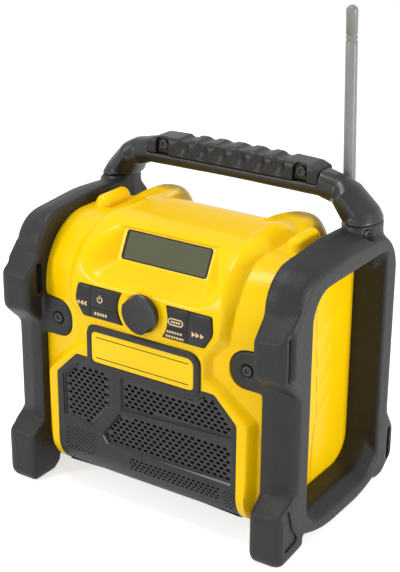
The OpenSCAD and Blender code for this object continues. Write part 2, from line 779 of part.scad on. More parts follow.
tip_r = 4.6;
module antenna_whip() color("#85857f") translate([antenna_x, antenna_y, antenna_z])
    rotate([0, -antenna_lean, 0])
    difference() {
        union() {
            rotate([90, 0, 0]) translate([0, 0, -5.7]) cylinder(r = knuckle_r, h = 11.4);
            rotate_extrude() polygon(concat([[0, 0], [antenna_r + 0.7, 0], [antenna_r + 0.7, 20],
                [antenna_r, 24],
                [tip_r, antenna_l - 27], [tip_r - 0.6, antenna_l - 26.4], [tip_r - 0.6, antenna_l - 25.6],
                [tip_r, antenna_l - 25], [tip_r, antenna_l - 23.4], [tip_r - 0.6, antenna_l - 22.8],
                [tip_r - 0.6, antenna_l - 22], [tip_r, antenna_l - 21.4]],
                [for (a = [0:15:90]) [tip_r * cos(a), antenna_l - tip_r * (1 - sin(a))]]));
        }
        rotate([90, 0, 0]) translate([0, 0, -8]) cylinder(r = pivot_r + 0.05, h = 16);
    }

// ---- speakers ----

flange_y = -front_y + wall + grille_t;
module basket() translate([speaker_x, flange_y, speaker_z]) rotate([-90, 0, 0]) difference() {
    rotate_extrude() polygon([[speaker_r - 3, 0], [speaker_r + 3.5, 0], [speaker_r + 3.5, 2],
        [speaker_r - 0.5, 2],
        [17, 18], [10, 18], [10, 16.4], [16, 16.4], [speaker_r - 3, 1.6]]);
    for (a = [45:90:360]) rotate(a) translate([14, -6, 5]) cube([12, 12, 10]);
}

module cone() translate([speaker_x, flange_y, speaker_z]) rotate([-90, 0, 0]) rotate_extrude()
    polygon([[0, 7.5], [6, 8.6], [9, 11], [speaker_r - 6.5, 1.2], [speaker_r - 5, 0],
        [speaker_r - 3.2, 0.6],
        [speaker_r - 3.2, 1.2], [speaker_r - 5, 0.8], [speaker_r - 5.7, 1.8], [9.8, 12.4], [9.8, 16],
        [8.6, 16],
        [8.6, 12], [5.5, 9.8], [0, 8.7]]);

module magnet() translate([speaker_x, flange_y, speaker_z]) rotate([-90, 0, 0]) {
    translate([0, 0, 18]) cylinder(r = 19, h = 9);
    translate([0, 0, 12.6]) cylinder(r = 8.2, h = 5.4);
}

module speaker_basket_right() color("dimgray") basket();
module speaker_basket_left() color("dimgray") mirror([1, 0, 0]) basket();
module speaker_cone_right() color("#222222") cone();
module speaker_cone_left() color("#222222") mirror([1, 0, 0]) cone();
module speaker_magnet_right() color("gray") magnet();
module speaker_magnet_left() color("gray") mirror([1, 0, 0]) magnet();

// ---- electronics ----

module main_board() color("#2e5a38") {
    translate([-board_half, board_y - board_t, board_post_z[0] - 8]) cube([2 * board_half, board_t, 60]);
    translate([-30, board_y - board_t - 2, board_post_z[0] + 16]) cube([14, 2, 14]);
    translate([8, board_y - board_t - 8, board_post_z[0] + 12]) cube([24, 8, 14]);
    for (x = [-8, 2]) y_cylinder(board_y - board_t - 13, board_y - board_t, 4, x, board_post_z[1] - 4);
}

dock_half = 30;
rail_half = 13;
module battery_dock() color("#2b2b2c") difference() {
    union() {
        translate([-dock_half, bay_y, bay_low + 12]) cube([2 * dock_half, 4, 100]);
        translate([-rail_half, bay_y + 4, bay_low + 24]) cube([2 * rail_half, 14, 66]);
        translate([-rail_half - 4, bay_y + 12, bay_low + 24]) cube([2 * rail_half + 8, 5, 60]);
    }
    for (x = [-7.5, -2.5, 2.5, 7.5]) translate([x - 1, bay_y + 6, bay_low + 68]) cube([2, 20, 30]);
}

module battery_contacts() color("goldenrod") for (x = [-7.5, -2.5, 2.5, 7.5])
    translate([x - 0.4, bay_y + 6, bay_low + 68]) cube([0.8, 9, 18]);

module jack_panel() color("#2b2b2c") difference() {
    union() {
        jack_block(0, rear_y - 4, rear_y - 1);
        jack_block(1, rear_y - 6, rear_y - 4);
    }
    y_cylinder(rear_y - 7, rear_y, 3.3, jack_x - 10, jack_z);
    y_cylinder(rear_y - 7, rear_y, 3.2, jack_x + 10, jack_z);
}

module aux_jack() color("dimgray") difference() {
    union() {
        y_cylinder(rear_y - 6, rear_y - 1.5, 3.2, jack_x + 10, jack_z);
        y_cylinder(rear_y - 20, rear_y - 6, 5, jack_x + 10, jack_z);
    }
    y_cylinder(rear_y - 18, rear_y, 1.8, jack_x + 10, jack_z);
}

module dc_jack() color("dimgray") {
    difference() {
        union() {
            y_cylinder(rear_y - 6, rear_y - 1.5, 3.3, jack_x - 10, jack_z);
            y_cylinder(rear_y - 18, rear_y - 6, 5.5, jack_x - 10, jack_z);
        }
        y_cylinder(rear_y - 15, rear_y, 2.8, jack_x - 10, jack_z);
    }
    y_cylinder(rear_y - 16, rear_y - 3, 1, jack_x - 10, jack_z);
}

// ---- nodes ----

frame_left();
frame_right();
front_housing();
rear_housing();
grille();
badge_plate();
lcd_window();
display_module();
key_rewind();
key_power();
key_menu();
key_mode();
key_enter();
key_forward();
key_board_left();
key_board_right();
knob();
encoder_shaft();
encoder_body();
handle_bar();
handle_grip();
grip_screws();
handle_bolts();
lug_screws();
housing_screws();
antenna_base();
antenna_pin();
antenna_whip();
speaker_basket_left();
speaker_basket_right();
speaker_cone_left();
speaker_cone_right();
speaker_magnet_left();
speaker_magnet_right();
main_board();
battery_dock();
battery_contacts();
jack_panel();
aux_jack();
dc_jack();
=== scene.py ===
import math
from contextlib import contextmanager

import bmesh
import bpy
import numpy as np
from mathutils import Matrix, Vector
from mathutils.bvhtree import BVHTree


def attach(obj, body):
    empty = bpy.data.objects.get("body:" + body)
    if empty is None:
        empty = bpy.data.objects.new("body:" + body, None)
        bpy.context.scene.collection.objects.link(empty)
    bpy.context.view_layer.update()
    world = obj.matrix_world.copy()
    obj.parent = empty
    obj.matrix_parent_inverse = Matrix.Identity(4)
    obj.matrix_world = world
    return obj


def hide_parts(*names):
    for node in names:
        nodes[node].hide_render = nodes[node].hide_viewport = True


# The looks of a jobsite radio, laid round its CAD frame. Lengths are in millimetres, with x to the
# right, y to the back and z up. Outlines are drawn as (x, z) from the front, as (y, z) from the
# side and as (x, y) from above.

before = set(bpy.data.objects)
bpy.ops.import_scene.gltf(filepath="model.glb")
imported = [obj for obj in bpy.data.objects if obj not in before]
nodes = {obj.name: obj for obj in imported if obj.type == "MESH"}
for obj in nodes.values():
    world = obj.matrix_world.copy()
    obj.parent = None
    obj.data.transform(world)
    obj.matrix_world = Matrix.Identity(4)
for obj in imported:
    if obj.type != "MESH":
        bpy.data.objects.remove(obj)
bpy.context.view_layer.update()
MM = 0.001
BODY = "radio"

# sizes of the part
INNER, OUTER = 101.5, 130.0           # x of a side frame's two sides
FRONT, REAR, SPLIT = 79.5, 62.0, 2.0  # the housing's front is at y = -FRONT, its split at SPLIT
KNOB_Z = 171.0
LUG_Z = 144.0                         # height of the lugs that screw the frames on
BADGE_T = 2.2                         # how far the badge plate stands out
AHEAD, BEHIND = -90, 100              # y in front of the housing and behind it, for cutters


# ---- drawing helpers ----

def outline(corners, steps=8):
    """Closed outline through corners given as (x, y) or (x, y, radius)."""
    out = []
    for i, corner in enumerate(corners):
        b = np.array(corner[:2], float)
        r = corner[2] if len(corner) > 2 else 0
        if r <= 0:
            out.append(b)
            continue
        a = np.array(corners[i - 1][:2], float)
        c = np.array(corners[(i + 1) % len(corners)][:2], float)
        u, w = (a - b) / np.linalg.norm(a - b), (c - b) / np.linalg.norm(c - b)
        half = math.acos(float(np.clip(u @ w, -1, 1))) / 2
        mid = b + (u + w) / np.linalg.norm(u + w) * r / math.sin(half)
        p, q = b + u * r / math.tan(half) - mid, b + w * r / math.tan(half) - mid
        start = math.atan2(p[1], p[0])
        turn = (math.atan2(q[1], q[0]) - start + 3 * math.pi) % (2 * math.pi) - math.pi
        for k in range(steps + 1):
            angle = start + turn * k / steps
            out.append(mid + r * np.array([math.cos(angle), math.sin(angle)]))
    return np.array(out)


def rounded(x0, x1, z0, z1, r):
    return outline([(x0, z0, r), (x1, z0, r), (x1, z1, r), (x0, z1, r)])


def rectangle(x0, x1, z0, z1):
    return [(x0, z0), (x1, z0), (x1, z1), (x0, z1)]


def circle(x, z, r, count=48):
    turns = [2 * math.pi * i / count for i in range(count)]
    return [(x + r * math.cos(turn), z + r * math.sin(turn)) for turn in turns]


def mirrored(points):
    return [(-p[0], p[1]) for p in points][::-1]


def grown(points, d):
    """Convex-cornered outline moved outwards by d, or inwards where d is negative."""
    out, n = [], len(points)
    for i in range(n):
        a, b, c = (np.array(points[k % n], float) for k in (i - 1, i, i + 1))
        u, w = (b - a) / np.linalg.norm(b - a), (c - b) / np.linalg.norm(c - b)
        nu, nw = np.array([u[1], -u[0]]), np.array([w[1], -w[0]])
        out.append(tuple(b + (nu + nw) * d / (1 + nu @ nw)))
    return out


def distance_to(outline_points, x, y):
    """Signed distance of points to a closed outline, negative inside."""
    p = np.stack([x, y], -1)
    best = np.full(x.shape, 1e9)
    inside = np.zeros(x.shape, bool)
    pts = np.asarray(outline_points)
    for a, b in zip(pts, np.roll(pts, -1, 0)):
        ab = b - a
        length = ab @ ab
        if length < 1e-12:
            continue
        t = np.clip(((p - a) @ ab) / length, 0, 1)
        best = np.minimum(best, np.linalg.norm(p - a - t[..., None] * ab, axis=-1))
        crosses = (a[1] > y) != (b[1] > y)
        with np.errstate(divide="ignore", invalid="ignore"):
            at = a[0] + (y - a[1]) * (b[0] - a[0]) / (b[1] - a[1])
        inside ^= crosses & (x < at)
    return np.where(inside, -best, best)


def within(area, points):
    """Whether all points lie inside an outline."""
    x, z = np.array(points).T
    return distance_to(area, x, z).max() <= 0


def step(lo, hi, v):
    """Smooth rise from 0 where v is lo to 1 where it is hi."""
    t = np.clip((np.asarray(v, float) - lo) / (hi - lo), 0, 1)
    return t * t * (3 - 2 * t)


def soft_min(a, b, k):
    """The lesser of a and b, rounded off where they differ by less than k."""
    h = np.maximum(k - np.abs(a - b), 0) / k
    return np.minimum(a, b) - h * h * k / 4


def soft_max(a, b, k):
    return -soft_min(-a, -b, k)


# ---- solids: each is a list of verts and a list of faces ----

def skin(rings):
    """Solid through rings of equally many points, closed at its ends."""
    n = len(rings[0])
    faces = [list(range(n))[::-1], list(range((len(rings) - 1) * n, len(rings) * n))]
    faces += [(j * n + i, j * n + (i + 1) % n, (j + 1) * n + (i + 1) % n, (j + 1) * n + i)
              for j in range(len(rings) - 1) for i in range(n)]
    return sum(rings, []), faces


def prism(points, lo, hi, view="front"):
    """An outline drawn in a view and extruded through it from lo to hi."""
    place = {"front": lambda a, b, d: (a, d, b),
             "side": lambda a, b, d: (d, a, b),
             "top": lambda a, b, d: (a, b, d)}[view]
    return skin([[place(*p, d) for p in points] for d in (lo, hi)])


def new_object(name, verts, faces):
    mesh = bpy.data.meshes.new(name)
    mesh.from_pydata([tuple(float(c) * MM for c in v) for v in verts], [],
                     [tuple(f) for f in faces])
    mesh.validate()
    obj = bpy.data.objects.new(name, mesh)
    bpy.context.scene.collection.objects.link(obj)
    return obj


@contextmanager
def edited(obj):
    """The mesh of obj as a bmesh, written back at the end."""
    bm = bmesh.new()
    bm.from_mesh(obj.data)
    yield bm
    bm.to_mesh(obj.data)
    bm.free()


def recalc(obj):
    with edited(obj) as bm:
        bmesh.ops.recalc_face_normals(bm, faces=bm.faces)


def joined(name, solids):
    """One object out of several solids."""
    verts, faces = [], []
    for v, f in solids:
        base = len(verts)
        verts += list(v)
        faces += [[base + i for i in face] for face in f]
    obj = new_object(name, verts, faces)
    recalc(obj)
    return obj


# ---- work on objects ----

def settle(obj):
    """Applies the modifiers of obj."""
    graph = bpy.context.evaluated_depsgraph_get()
    mesh = bpy.data.meshes.new_from_object(obj.evaluated_get(graph))
    obj.modifiers.clear()
    obj.data = mesh
    return obj


def boolean(obj, solids, operation="DIFFERENCE", loose=False):
    """Cuts solids out of obj, or adds them; loose where they overlap one another."""
    tool = joined("tool", solids)
    mod = obj.modifiers.new("boolean", "BOOLEAN")
    mod.operation, mod.object, mod.solver, mod.use_self = operation, tool, "EXACT", loose
    settle(obj)
    bpy.data.objects.remove(tool)


def bevel(obj, width, segments=2, angle=35):
    mod = obj.modifiers.new("bevel", "BEVEL")
    mod.width, mod.segments = width * MM, segments
    mod.limit_method, mod.angle_limit = "ANGLE", math.radians(angle)
    mod.use_clamp_overlap = True
    return settle(obj)


@contextmanager
def copied(node, name):
    """A copy of a CAD node with its doubled vertices merged, and its mesh to be worked on."""
    obj = bpy.data.objects.new(name, nodes[node].data.copy())
    obj.data.materials.clear()
    bpy.context.scene.collection.objects.link(obj)
    with edited(obj) as bm:
        bmesh.ops.remove_doubles(bm, verts=bm.verts, dist=0.01 * MM)
        yield obj, bm


def cleaned(node, name):
    """A copy of a CAD node with its flat sides in one face each."""
    with copied(node, name) as (obj, bm):
        bmesh.ops.dissolve_limit(bm, angle_limit=math.radians(1), verts=bm.verts, edges=bm.edges)
    return obj


def bevelled(node, name, width, segments=2, angle=35):
    """A copy of a CAD node with a small bevel on its edges."""
    return bevel(cleaned(node, name), width, segments, angle)


def softened(node, name, voxel, rounds, added=()):
    """A copy of a CAD node, with solids added, with its edges rounded as moulding rounds them."""
    with copied(node, name) as (obj, bm):
        for verts, faces in added:
            corners = [bm.verts.new([c * MM for c in v]) for v in verts]
            for face in faces:
                bm.faces.new([corners[i] for i in face])
        bmesh.ops.recalc_face_normals(bm, faces=bm.faces)
    remesh = obj.modifiers.new("remesh", "REMESH")
    remesh.mode, remesh.voxel_size = "VOXEL", voxel * MM
    smooth = obj.modifiers.new("smooth", "SMOOTH")
    smooth.factor, smooth.iterations = 0.5, rounds
    return settle(obj)


def dress(obj, material, body=BODY, angle=35):
    """Gives obj its material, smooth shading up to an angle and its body."""
    obj.data.materials.clear()
    obj.data.materials.append(material)
    count = len(obj.data.polygons)
    obj.data.polygons.foreach_set("material_index", [0] * count)
    obj.data.polygons.foreach_set("use_smooth", [True] * count)
    obj.data.set_sharp_from_angle(angle=math.radians(angle))
    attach(obj, body)


# ---- materials ----

def add(tree, kind, **inputs):
    """A new shader node with inputs set; an underscore stands for the space in an input's name."""
    node = tree.nodes.new("ShaderNode" + kind)
    for name, value in inputs.items():
        node.inputs[name.replace("_", " ")].default_value = value
    return node


def new_material(name):
    """A material, its node tree and its shader."""
    mat = bpy.data.materials.new(name)
    mat.use_nodes = True
    return mat, mat.node_tree, mat.node_tree.nodes["Principled BSDF"]


def noise(tree, scale, detail):
    coords = add(tree, "TexCoord")
    tex = add(tree, "TexNoise", Scale=scale, Detail=detail, Roughness=0.55)
    tree.links.new(coords.outputs["Object"], tex.inputs["Vector"])
    return tex.outputs["Fac"]


def coloured(tree, shader, fac, colours, span=(0, 1)):
    """Colours a shader between two colours, over a span of a noise."""
    ramp = add(tree, "ValToRGB")
    for element, colour, position in zip(ramp.color_ramp.elements, colours, span):
        element.color, element.position = (*colour, 1), position
    tree.links.new(fac, ramp.inputs["Fac"])
    tree.links.new(ramp.outputs["Color"], shader.inputs["Base Color"])


GLOSS_DRIFT = 0.06      # how far the roughness of moulded plastic strays from its mean


def moulded(name, dark, light, rough, grain, bump, patch, shine=0.5):
    """Moulded plastic: its colour and gloss drift in patches and its surface has a fine grain."""
    mat, tree, shader = new_material(name)
    broad = noise(tree, patch, 4)
    coloured(tree, shader, broad, (dark, light), (0.3, 0.7))
    spread = add(tree, "MapRange", To_Min=rough - GLOSS_DRIFT, To_Max=rough + GLOSS_DRIFT)
    tree.links.new(broad, spread.inputs["Value"])
    tree.links.new(spread.outputs["Result"], shader.inputs["Roughness"])
    height = add(tree, "Bump", Strength=bump, Distance=0.4 * MM)
    tree.links.new(noise(tree, grain, 2), height.inputs["Height"])
    tree.links.new(height.outputs["Normal"], shader.inputs["Normal"])
    shader.inputs["Specular IOR Level"].default_value = shine
    return mat


def metal(name, dark, light, rough):
    """Metal with a brushed look."""
    mat, tree, shader = new_material(name)
    coords = add(tree, "TexCoord")
    stretched = add(tree, "Mapping", Scale=(1, 1, 30))
    tex = add(tree, "TexNoise", Scale=300)
    tree.links.new(coords.outputs["Object"], stretched.inputs["Vector"])
    tree.links.new(stretched.outputs["Vector"], tex.inputs["Vector"])
    coloured(tree, shader, tex.outputs["Fac"], (dark, light))
    shader.inputs["Metallic"].default_value = 1.0
    shader.inputs["Roughness"].default_value = rough
    return mat


def grey(value):
    return value, value, value


M = {
    "yellow": moulded("yellow_plastic", (0.93, 0.57, 0.0005), (0.98, 0.62, 0.001), 0.24,
                      grain=1400, bump=0.05, patch=12, shine=0.16),
    "badge": moulded("badge_plastic", (0.93, 0.60, 0.004), (0.98, 0.65, 0.006), 0.3,
                     grain=1800, bump=0.04, patch=20, shine=0.2),
    "frame": moulded("frame_plastic", (0.0095, 0.0095, 0.0092), (0.0145, 0.0145, 0.014), 0.5,
                     grain=480, bump=0.85, patch=60, shine=0.33),
    "grille": moulded("grille_plastic", grey(0.012), grey(0.018), 0.5,
                      grain=1200, bump=0.2, patch=60, shine=0.34),
    "sheet": moulded("sheet_plastic", grey(0.010), grey(0.015), 0.42,
                     grain=1200, bump=0.1, patch=60, shine=0.45),
    "handle": moulded("handle_plastic", (0.012, 0.012, 0.0115), (0.018, 0.018, 0.0175), 0.34,
                      grain=900, bump=0.25, patch=40, shine=0.4),
    "grip": moulded("grip_rubber", grey(0.008), grey(0.012), 0.38,
                    grain=1500, bump=0.2, patch=80, shine=0.34),
    "key": moulded("key_rubber", (0.011, 0.011, 0.0115), (0.016, 0.016, 0.0165), 0.45,
                   grain=1800, bump=0.12, patch=80, shine=0.3),
    "knob": moulded("knob_plastic", grey(0.007), grey(0.010), 0.3,
                    grain=1400, bump=0.1, patch=80, shine=0.4),
    "knob_gloss": moulded("knob_flats", grey(0.006), grey(0.009), 0.14,
                          grain=1400, bump=0.02, patch=80, shine=0.95),
    "icon": moulded("icon_print", (0.70, 0.50, 0.25), (0.80, 0.60, 0.33), 0.5,
                    grain=3000, bump=0.05, patch=300),
    "bezel": moulded("bezel_plastic", (0.010, 0.010, 0.012), (0.016, 0.016, 0.018), 0.35,
                     grain=1800, bump=0.05, patch=80, shine=0.25),
    # near-black, for the sheet behind the grille's cells: painted shade in the holes
    "hole": moulded("hole_shadow", grey(0.002), grey(0.004), 0.9,
                    grain=1200, bump=0.1, patch=80, shine=0.02),
    # light grey strips on the grille's ledges: a painted highlight, not wear
    "ledge": moulded("painted_ledge_highlight", grey(0.13), grey(0.22), 0.35,
                     grain=1200, bump=0.1, patch=40, shine=0.5),
    "line": moulded("line_print", (0.10, 0.055, 0.008), (0.13, 0.07, 0.01), 0.5,
                    grain=2000, bump=0.05, patch=80, shine=0.2),
    "lcd": moulded("lcd_glass", (0.091, 0.098, 0.059), (0.103, 0.110, 0.067), 0.5,
                   grain=3000, bump=0.01, patch=14, shine=0.08),
    "antenna": moulded("antenna_sleeve", (0.19, 0.19, 0.178), (0.215, 0.215, 0.203), 0.34,
                       grain=1200, bump=0.05, patch=60),
    "dock": moulded("dock_plastic", (0.024, 0.024, 0.025), (0.034, 0.034, 0.035), 0.5,
                    grain=1300, bump=0.15, patch=60),
    "board": moulded("board_lacquer", (0.012, 0.075, 0.035), (0.022, 0.11, 0.05), 0.4,
                     grain=1400, bump=0.1, patch=150),
    "cone": moulded("cone_paper", grey(0.015), grey(0.03), 0.8, grain=700, bump=0.4, patch=200),
    "dark_metal": moulded("dark_metal", grey(0.06), grey(0.09), 0.5,
                          grain=900, bump=0.15, patch=100),
    "iron": moulded("magnet_iron", grey(0.12), grey(0.17), 0.6, grain=600, bump=0.4, patch=60),
    "screw": metal("screw_zinc", grey(0.03), grey(0.075), 0.3),
    "steel": metal("shaft_steel", grey(0.5), grey(0.62), 0.3),
    "brass": metal("contact_brass", (0.55, 0.4, 0.16), (0.7, 0.52, 0.22), 0.28),
}

# the CAD nodes that are seen as they are, by their material
PLAIN_NODES = {
    "steel": ("encoder_shaft", "antenna_pin"),
    "dark_metal": ("encoder_body", "aux_jack", "dc_jack", "speaker_basket_left",
                   "speaker_basket_right"),
    "handle": ("antenna_base",),
    "board": ("display_module", "key_board_left", "key_board_right", "main_board"),
    "dock": ("battery_dock", "jack_panel"),
    "brass": ("battery_contacts",),
    "screw": ("housing_screws",),
    "cone": ("speaker_cone_left", "speaker_cone_right"),
    "iron": ("speaker_magnet_left", "speaker_magnet_right"),
}


def dress_plain_nodes():
    for look, names in PLAIN_NODES.items():
        for name in names:
            obj = nodes[name]
            if not obj.material_slots:
                obj.data.materials.append(M[look])
            for place in obj.material_slots:
                place.material = M[look]


# ---- housing ----

# steps along the stretches of the side profile, in the order in which side_rows draws them
COUNTS = (24, 40, 124, 93, 22, 12, 60, 40, 12, 10)
# last rows of the back's top, of its upper corner and of its upright stretch
TOP_END, CORNER_END, BACK_END = (int(end) for end in np.cumsum(COUNTS[5:8]))
# the raised middle's and the ends' radii: front below, front on top, rear on top, rear below
MIDDLE_RADII, ENDS_RADII = (30, 59, 50, 20), (28, 52, 45, 20)
LOW, TOP = 14, 226
ENDS_FRONT, ENDS_LOW, ENDS_TOP = 73, 15, 218.5


def side_rows(front, rear, low, top, radii):
    """Side profile of the housing as rows of (y, z), from the split underneath round the front to
    the split on top, and on round the back. Returns the front rows and the rear rows."""
    fl, ft, rt, rl = radii

    def line(a, b, n):
        return [(a[0] + (b[0] - a[0]) * i / n, a[1] + (b[1] - a[1]) * i / n) for i in range(n)]

    def arc(cy, cz, r, start, end, n):
        turns = [math.radians(start + (end - start) * i / n) for i in range(n)]
        return [(cy + r * math.cos(turn), cz + r * math.sin(turn)) for turn in turns]

    c = COUNTS
    forward = [line((SPLIT, low), (-front + fl, low), c[0]),
               arc(-front + fl, low + fl, fl, 270, 180, c[1]),
               line((-front, low + fl), (-front, top - ft), c[2]),
               arc(-front + ft, top - ft, ft, 180, 90, c[3]),
               line((-front + ft, top), (SPLIT, top), c[4]), [(SPLIT, top)]]
    back = [line((SPLIT, top), (rear - rt, top), c[5]),
            arc(rear - rt, top - rt, rt, 90, 0, c[6]),
            line((rear, top - rt), (rear, low + rl), c[7]),
            arc(rear - rl, low + rl, rl, 0, -90, c[8]),
            line((rear - rl, low), (SPLIT, low), c[9]), [(SPLIT, low)]]
    return np.array(sum(forward, [])), np.array(sum(back, []))


MIDDLE = side_rows(FRONT, REAR, LOW, TOP, MIDDLE_RADII)
ENDS = side_rows(ENDS_FRONT, REAR - 0.5, ENDS_LOW, ENDS_TOP, ENDS_RADII)


def along(rows, zero):
    """Length along the rows, which equals z at row zero."""
    d = np.concatenate([[0], np.cumsum(np.linalg.norm(np.diff(rows, axis=0), axis=1))])
    return d - d[zero] + rows[zero][1]


S_FRONT = along(MIDDLE[0], COUNTS[0] + COUNTS[1])
S_BACK = S_FRONT[-1] + along(MIDDLE[1], 0) - MIDDLE[1][0][1]

# edge of the raised middle and foot of the wall round it, as (x, length along the profile, radius)
RAISED = [(88, -90), (88.5, 0), (91, 45), (91.5, 101.5, 8), (64.7, 125, 8), (54.2, 130.8, 5),
          (54.2, 149.5, 6), (67.6, 168, 10), (66.8, 184, 20), (63.5, 202, 30), (62.5, 218, 30),
          (61, 236, 30), (55.5, 258, 30), (54, 700)]
FOOT = [(92.5, -90), (92.5, 0), (95, 45), (96, 104.5, 6), (69.2, 129.4, 6), (58.6, 133.6, 4),
        (58.6, 146.5, 5), (73.2, 162, 9), (74.2, 181, 20), (75.3, 200, 30), (74.6, 220, 30),
        (73.6, 236, 30), (75.5, 258, 30), (78, 700)]
SOFTER = (158, 185)     # lengths along the profile between which the wall turns into a soft slope
WALL_MIX, SLOPE_POWER = 0.75, 1.6
ROOF = (225, 330)       # lengths along the profile that belong to the roof
ROOF_MID = 300.0
COLUMNS = 204           # of the housing's grid, from frame to frame
# swelling of the roof beside the middle: height, x across it, and lengths where it rises and falls
SWELL, SWELL_X, SWELL_RISE, SWELL_FALL = 0.9, (53.5, 59), (228, 244), (285, 300)
# the front falls back towards the frames, by this much from this x on
SIDE_FALL, SIDE_FROM = 5, 70
# oblong lugs on the roof: x, y of their ends' centres, half width, height of their foot and crown
ROOF_LUG_X, ROOF_LUG_Y, ROOF_LUG_R, ROOF_LUG_Z, ROOF_LUG_H = 88.0, (-9.5, 14.5), 6.9, 219.0, 9.2
ROOF_LUG_WALL, ROOF_LUG_EASE, ROOF_LUG_REAR = 60, 1.6, 40
# shoulders beside the battery bay: centre and radius of their upper corner, x where they are
# highest, and how far they reach from there inwards and outwards
EAR_Y, EAR_Z, EAR_R = 48, 211.8, 14
EAR_X, EAR_IN, EAR_OUT = (60.5, 61, 62), 16, 19
# their crest in front of that corner: height at y = 0, rise per mm and how its end is eased; it
# grows out of the roof up to EAR_ROOT
EAR_START, EAR_RISE, EAR_EASE, EAR_ROOT = 214, 0.27, 3, 60


def both_sides(points):
    return outline(points + [(-p[0], *p[1:]) for p in points[::-1]])


def wall_share(x, s):
    """0 on the raised middle, 1 on the housing beside it."""
    rise = distance_to(both_sides(RAISED), x, s)
    foot = distance_to(both_sides(FOOT), x, s)
    u = np.clip(rise / np.maximum(rise - foot, 1e-6), 0, 1)
    u = np.where(rise <= 0, 0, np.where(foot >= 0, 1, u))
    soft = step(*SOFTER, s)
    wall = WALL_MIX * u + (1 - WALL_MIX) * step(0, 1, u)
    return np.clip((1 - soft) * wall + soft * u ** SLOPE_POWER, 0, 1)


def roof(rows, y, r):
    """Height at y of the top of a side profile whose rear corner has radius r."""
    top = rows[:, 1].max()
    centre = rows[:, 0].max() - r
    return np.where(y < centre, top,
                    top - r + np.sqrt(np.clip(r * r - (y - centre) ** 2, 0, None)))


def roof_lug(x, y):
    """Height of the oblong lug on top of the housing, beside each frame."""
    beyond = np.maximum(np.maximum(ROOF_LUG_Y[0] - y, y - ROOF_LUG_Y[1]), 0)
    d = np.hypot(np.abs(x) - ROOF_LUG_X, beyond) / ROOF_LUG_R
    crown = ROOF_LUG_Z + ROOF_LUG_H * np.sqrt(np.clip(1 - d * d, 0, 1))
    return np.where(d < 1.3, crown - ROOF_LUG_WALL * np.clip(d - 1, 0, 1), 0)


def ear_share(x):
    """Cross-section of the rounded shoulders: 1 on their crest, 0 beside them."""
    a = np.abs(x)
    inner = np.clip(EAR_X[0] - a, 0, EAR_IN) / EAR_IN
    outer = np.clip(a - EAR_X[2], 0, EAR_OUT) / EAR_OUT
    return np.sqrt(np.clip(1 - np.where(a < EAR_X[1], inner, outer) ** 2, 0, 1))


def ear_rows():
    """Side profile of the shoulders' crest, with a row for each of the back's rows."""
    i = np.arange(len(MIDDLE[1]))
    angle = np.radians(90 - 90 * np.clip((i - TOP_END) / COUNTS[6], 0, 1))
    down = np.clip((i - CORNER_END) / COUNTS[7], 0, 1)
    places = [i < TOP_END, i <= CORNER_END, i <= BACK_END]
    y = np.select(places, [SPLIT + (EAR_Y - SPLIT) * (i / TOP_END), EAR_Y + EAR_R * np.cos(angle),
                           np.full(i.shape, REAR)], MIDDLE[1][:, 0])
    slope = soft_min(EAR_START + EAR_RISE * y, np.full(y.shape, EAR_Z + EAR_R), EAR_EASE)
    z = np.select(places, [slope, EAR_Z + EAR_R * np.sin(angle),
                           EAR_Z + (LOW + MIDDLE_RADII[3] - EAR_Z) * down], MIDDLE[1][:, 1])
    return y, z


def with_ears(xx, y, z):
    """Lets the shoulders beside the battery bay rise out of the back."""
    ear_y, ear_z = (column[:, None] for column in ear_rows())
    row = np.arange(len(ear_y))[:, None]
    share = wall_share(xx, np.full(xx.shape, ROOF_MID))
    base = ((1 - share) * roof(MIDDLE[1], ear_y, MIDDLE_RADII[2])
            + share * roof(ENDS[1], ear_y, ENDS_RADII[2]))
    least = np.where((row <= CORNER_END) & (ear_y < EAR_ROOT), base, 0)
    e = np.where(row <= BACK_END, ear_share(xx), 0)
    return y + e * (ear_y - y), z + e * (np.maximum(ear_z, least) - z)


# ---- display pocket ----

LCD_LEAN = math.radians(25.7)
LCD_AT = np.array([0.0, -48.35, 208.3])
LCD_OUT = np.array([0, -math.cos(LCD_LEAN), math.sin(LCD_LEAN)])
LCD_UP = np.array([0, math.sin(LCD_LEAN), math.cos(LCD_LEAN)])
# the pocket's floor in the display's plane: half width, reach down and reach up
POCKET_HALF, POCKET_DOWN, POCKET_UP = 41.0, 13.0, 12.6
# its walls' slopes beside, below and above the floor, and how their foot and their edge are eased
POCKET_SLOPES, POCKET_FOOT, POCKET_EDGE = (0.84, 0.86, 6), 0.6, 4.5
# beyond this much sideways, down, up and out of the display, the housing stays as it is
POCKET_REACH = (75, 50, 22, 24)


def lcd_pocket(p):
    """Sinks the housing's points into the pocket that flares out of the display window."""
    q = p - LCD_AT
    out, up, x = q @ LCD_OUT, q @ LCD_UP, np.abs(q[..., 0])
    beside = np.maximum(x - POCKET_HALF, 0) * POCKET_SLOPES[0]
    below = np.maximum(-up - POCKET_DOWN, 0) * POCKET_SLOPES[1]
    above = np.maximum(up - POCKET_UP, 0) * POCKET_SLOPES[2]
    wall = np.sqrt(beside ** 2 + below ** 2 + above ** 2)
    wall = np.where(wall < POCKET_FOOT, wall * wall / (2 * POCKET_FOOT), wall - POCKET_FOOT / 2)
    new = np.where((wall < 0.01) & (out > 0), 0, soft_min(out, wall, POCKET_EDGE))
    aside, down, rise, high = POCKET_REACH
    outside = (x > aside) | (up < -down) | (up > rise) | (wall > high)
    new = np.where(outside, out, new)
    return p + (np.minimum(new, out) - out)[..., None] * LCD_OUT


def lcd_slab(points, low, high):
    """Slab drawn as [across, up] in the display's plane, from low to high out of it."""
    return skin([[tuple(LCD_AT + np.array([u, 0, 0]) + v * LCD_UP + h * LCD_OUT)
                  for u, v in points] for h in (low, high)])


